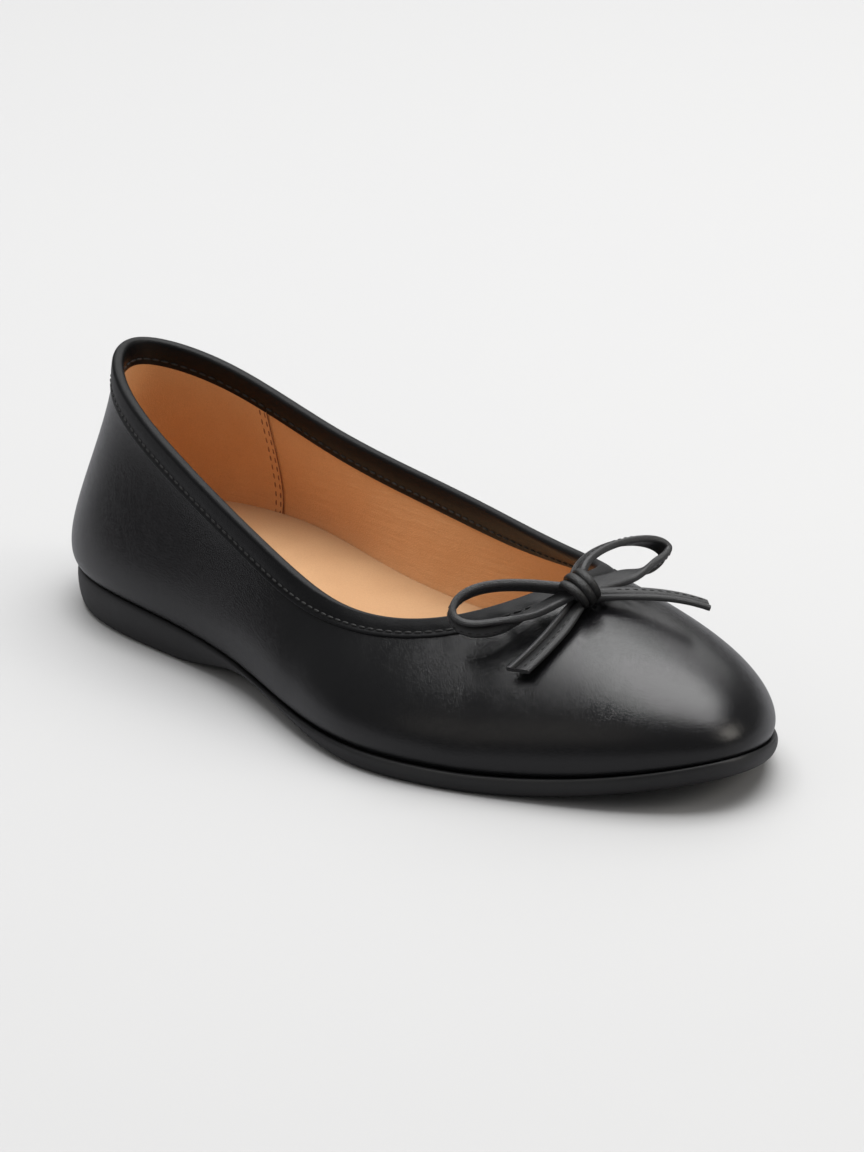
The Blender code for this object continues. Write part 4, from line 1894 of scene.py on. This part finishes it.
@dataclass
class Studio:
    """White paper floor, softboxes, and a room that fills the shadows but shows dim in gloss."""

    heading: float = PHOTO_HEADING
    floor_radius: float = 6.0
    floor_sides: int = 96
    floor_gap: float = 0.00005
    room: float = 0.09
    fill: float = 0.45
    backdrop: float = 0.92
    lights: tuple[Softbox, ...] = (
        Softbox("overhead", 0.17, 0.21, 1.95, 2.16, 1.75, 56.0),
        Softbox("overhead_back", 0.10, 1.85, 1.60, 2.40, 2.10, 15.0),
        Softbox("kicker_right", 1.70, -0.55, 1.00, 0.78, 0.74, 7.5, (1.0, 0.95, 0.87)),
        Softbox("front_left_card", -1.54, -1.00, 1.20, 1.30, 0.90, 1.5, (1.0, 0.93, 0.85)),
        Softbox("background_wash", 0.25, 1.05, 1.25, 1.40, 1.00, 6.0, mirrored=False),
    )

    def axes(self) -> tuple[Vector, Vector]:
        """Level directions to the photograph's right and away from its camera."""
        h = radians(self.heading)
        return Vector((cos(h), sin(h), 0)), Vector((-sin(h), cos(h), 0))

    def floor(self, material: bpy.types.Material) -> None:
        """A wide round sheet of paper under the shoe.

        Args:
            material: its finish.
        """
        mesh = mapped_mesh()
        bmesh.ops.create_circle(
            mesh,
            cap_ends=True,
            segments=self.floor_sides,
            radius=self.floor_radius,
            matrix=Matrix.Translation((0, 0, -self.floor_gap)),
            calc_uvs=True,
        )
        paper = new_object(mesh, "paper_floor", material)

    def light(self) -> None:
        """Adds the softboxes and the room's own light, and shows them without a film curve."""
        bpy.context.scene.view_settings.view_transform = "Standard"
        right, away = self.axes()
        for box in self.lights:
            data = bpy.data.lights.new(box.name, "AREA")
            data.shape = "RECTANGLE"
            data.size, data.size_y = box.width, box.depth
            data.energy, data.color = box.watts, box.tint
            spot = right * box.right + away * box.away + Vector((0, 0, box.up))
            lamp = bpy.data.objects.new(box.name, data)
            lamp.location = spot
            lamp.visible_glossy = box.mirrored
            facing = spot.normalized()
            side = (right - facing * right.dot(facing)).normalized()
            turned = Matrix((side, facing.cross(side), facing)).transposed()
            lamp.rotation_euler = turned.to_euler()
            bpy.context.scene.collection.objects.link(lamp)
        world = bpy.data.worlds.new("room")
        world.use_nodes = True
        build = Tree(world.node_tree)
        path = build.add("LightPath").outputs
        ranges = {0: path["Is Diffuse Ray"], 3: self.room, 4: self.fill}
        unseen = build.add("MapRange", ranges).outputs[0]
        ranges = {0: path["Is Camera Ray"], 3: unseen, 4: self.backdrop}
        strength = build.add("MapRange", ranges).outputs[0]
        room = build.add("Background", {"Color": (1, 1, 1, 1), "Strength": strength})
        build.add("OutputWorld", {"Surface": room.outputs[0]})
        world.cycles.sampling_method = "NONE"
        bpy.context.scene.world = world


def main() -> None:
    """Builds the camera, the pieces and the studio in order."""
    logging.basicConfig(level=logging.INFO, format="%(name)s: %(message)s")
    Camera().place()
    effects = Effects()
    leather = SatinLeather("upper_black_leather", seam_width=0.0010).build(effects)
    tape = SatinLeather(
        "binding_black_leather",
        colour=(0.0042, 0.0043, 0.0048),
        rubbed=(0.0068, 0.0069, 0.0075),
        smooth=0.34,
        rough=0.42,
        cells=2300,
        coat=0.0,
        specular=0.19,
    ).build(effects)
    strap = SatinLeather(
        "bow_black_leather",
        colour=(0.0190, 0.0192, 0.0202),
        rubbed=(0.0290, 0.0292, 0.0304),
        cells=2400,
        relief=0.00009,
        smooth=0.40,
        rough=0.50,
        coat=0.05,
        seam_width=0.045,
        seam_depth=0.0005,
    ).build(effects)
    lining = TanLeather("lining_tan_leather").build(effects)
    sock = TanLeather(
        "sock_tan_leather",
        colour=(0.48, 0.271, 0.130),
        pale=(0.53, 0.313, 0.157),
        relief=0.00004,
        wrinkles=0.0,
    ).build(effects)
    rubber = MouldedRubber().build(effects)
    black_thread = Thread(
        "black_thread", (0.0075, 0.0074, 0.0073), (0.019, 0.0187, 0.0184), sheen=0.02
    ).build(effects)
    brown_thread = Thread("brown_thread", (0.20, 0.075, 0.028), (0.33, 0.14, 0.055)).build(effects)
    paper = StudioPaper().build(effects)

    last = Last()
    wall = Wall(last)
    Outsole(last).sole(rubber)
    upper = Upper(wall)
    upper.leather(leather)
    upper.lining(lining)
    upper.counter(lining, brown_thread)
    binding = Binding(wall)
    binding.tape(tape)
    binding.thread(black_thread)
    Insole(wall).sock(sock)
    bow = Bow(wall)
    for loop in LOOPS:
        bow.loop(loop, strap)
    for tail in TAILS:
        bow.tail(tail, strap)
    add_piece(bow.sewn, "bow_stitches", black_thread)
    bow.knot(strap)
    studio = Studio()
    studio.floor(paper)
    studio.light()


if __name__ == "__main__":
    main()
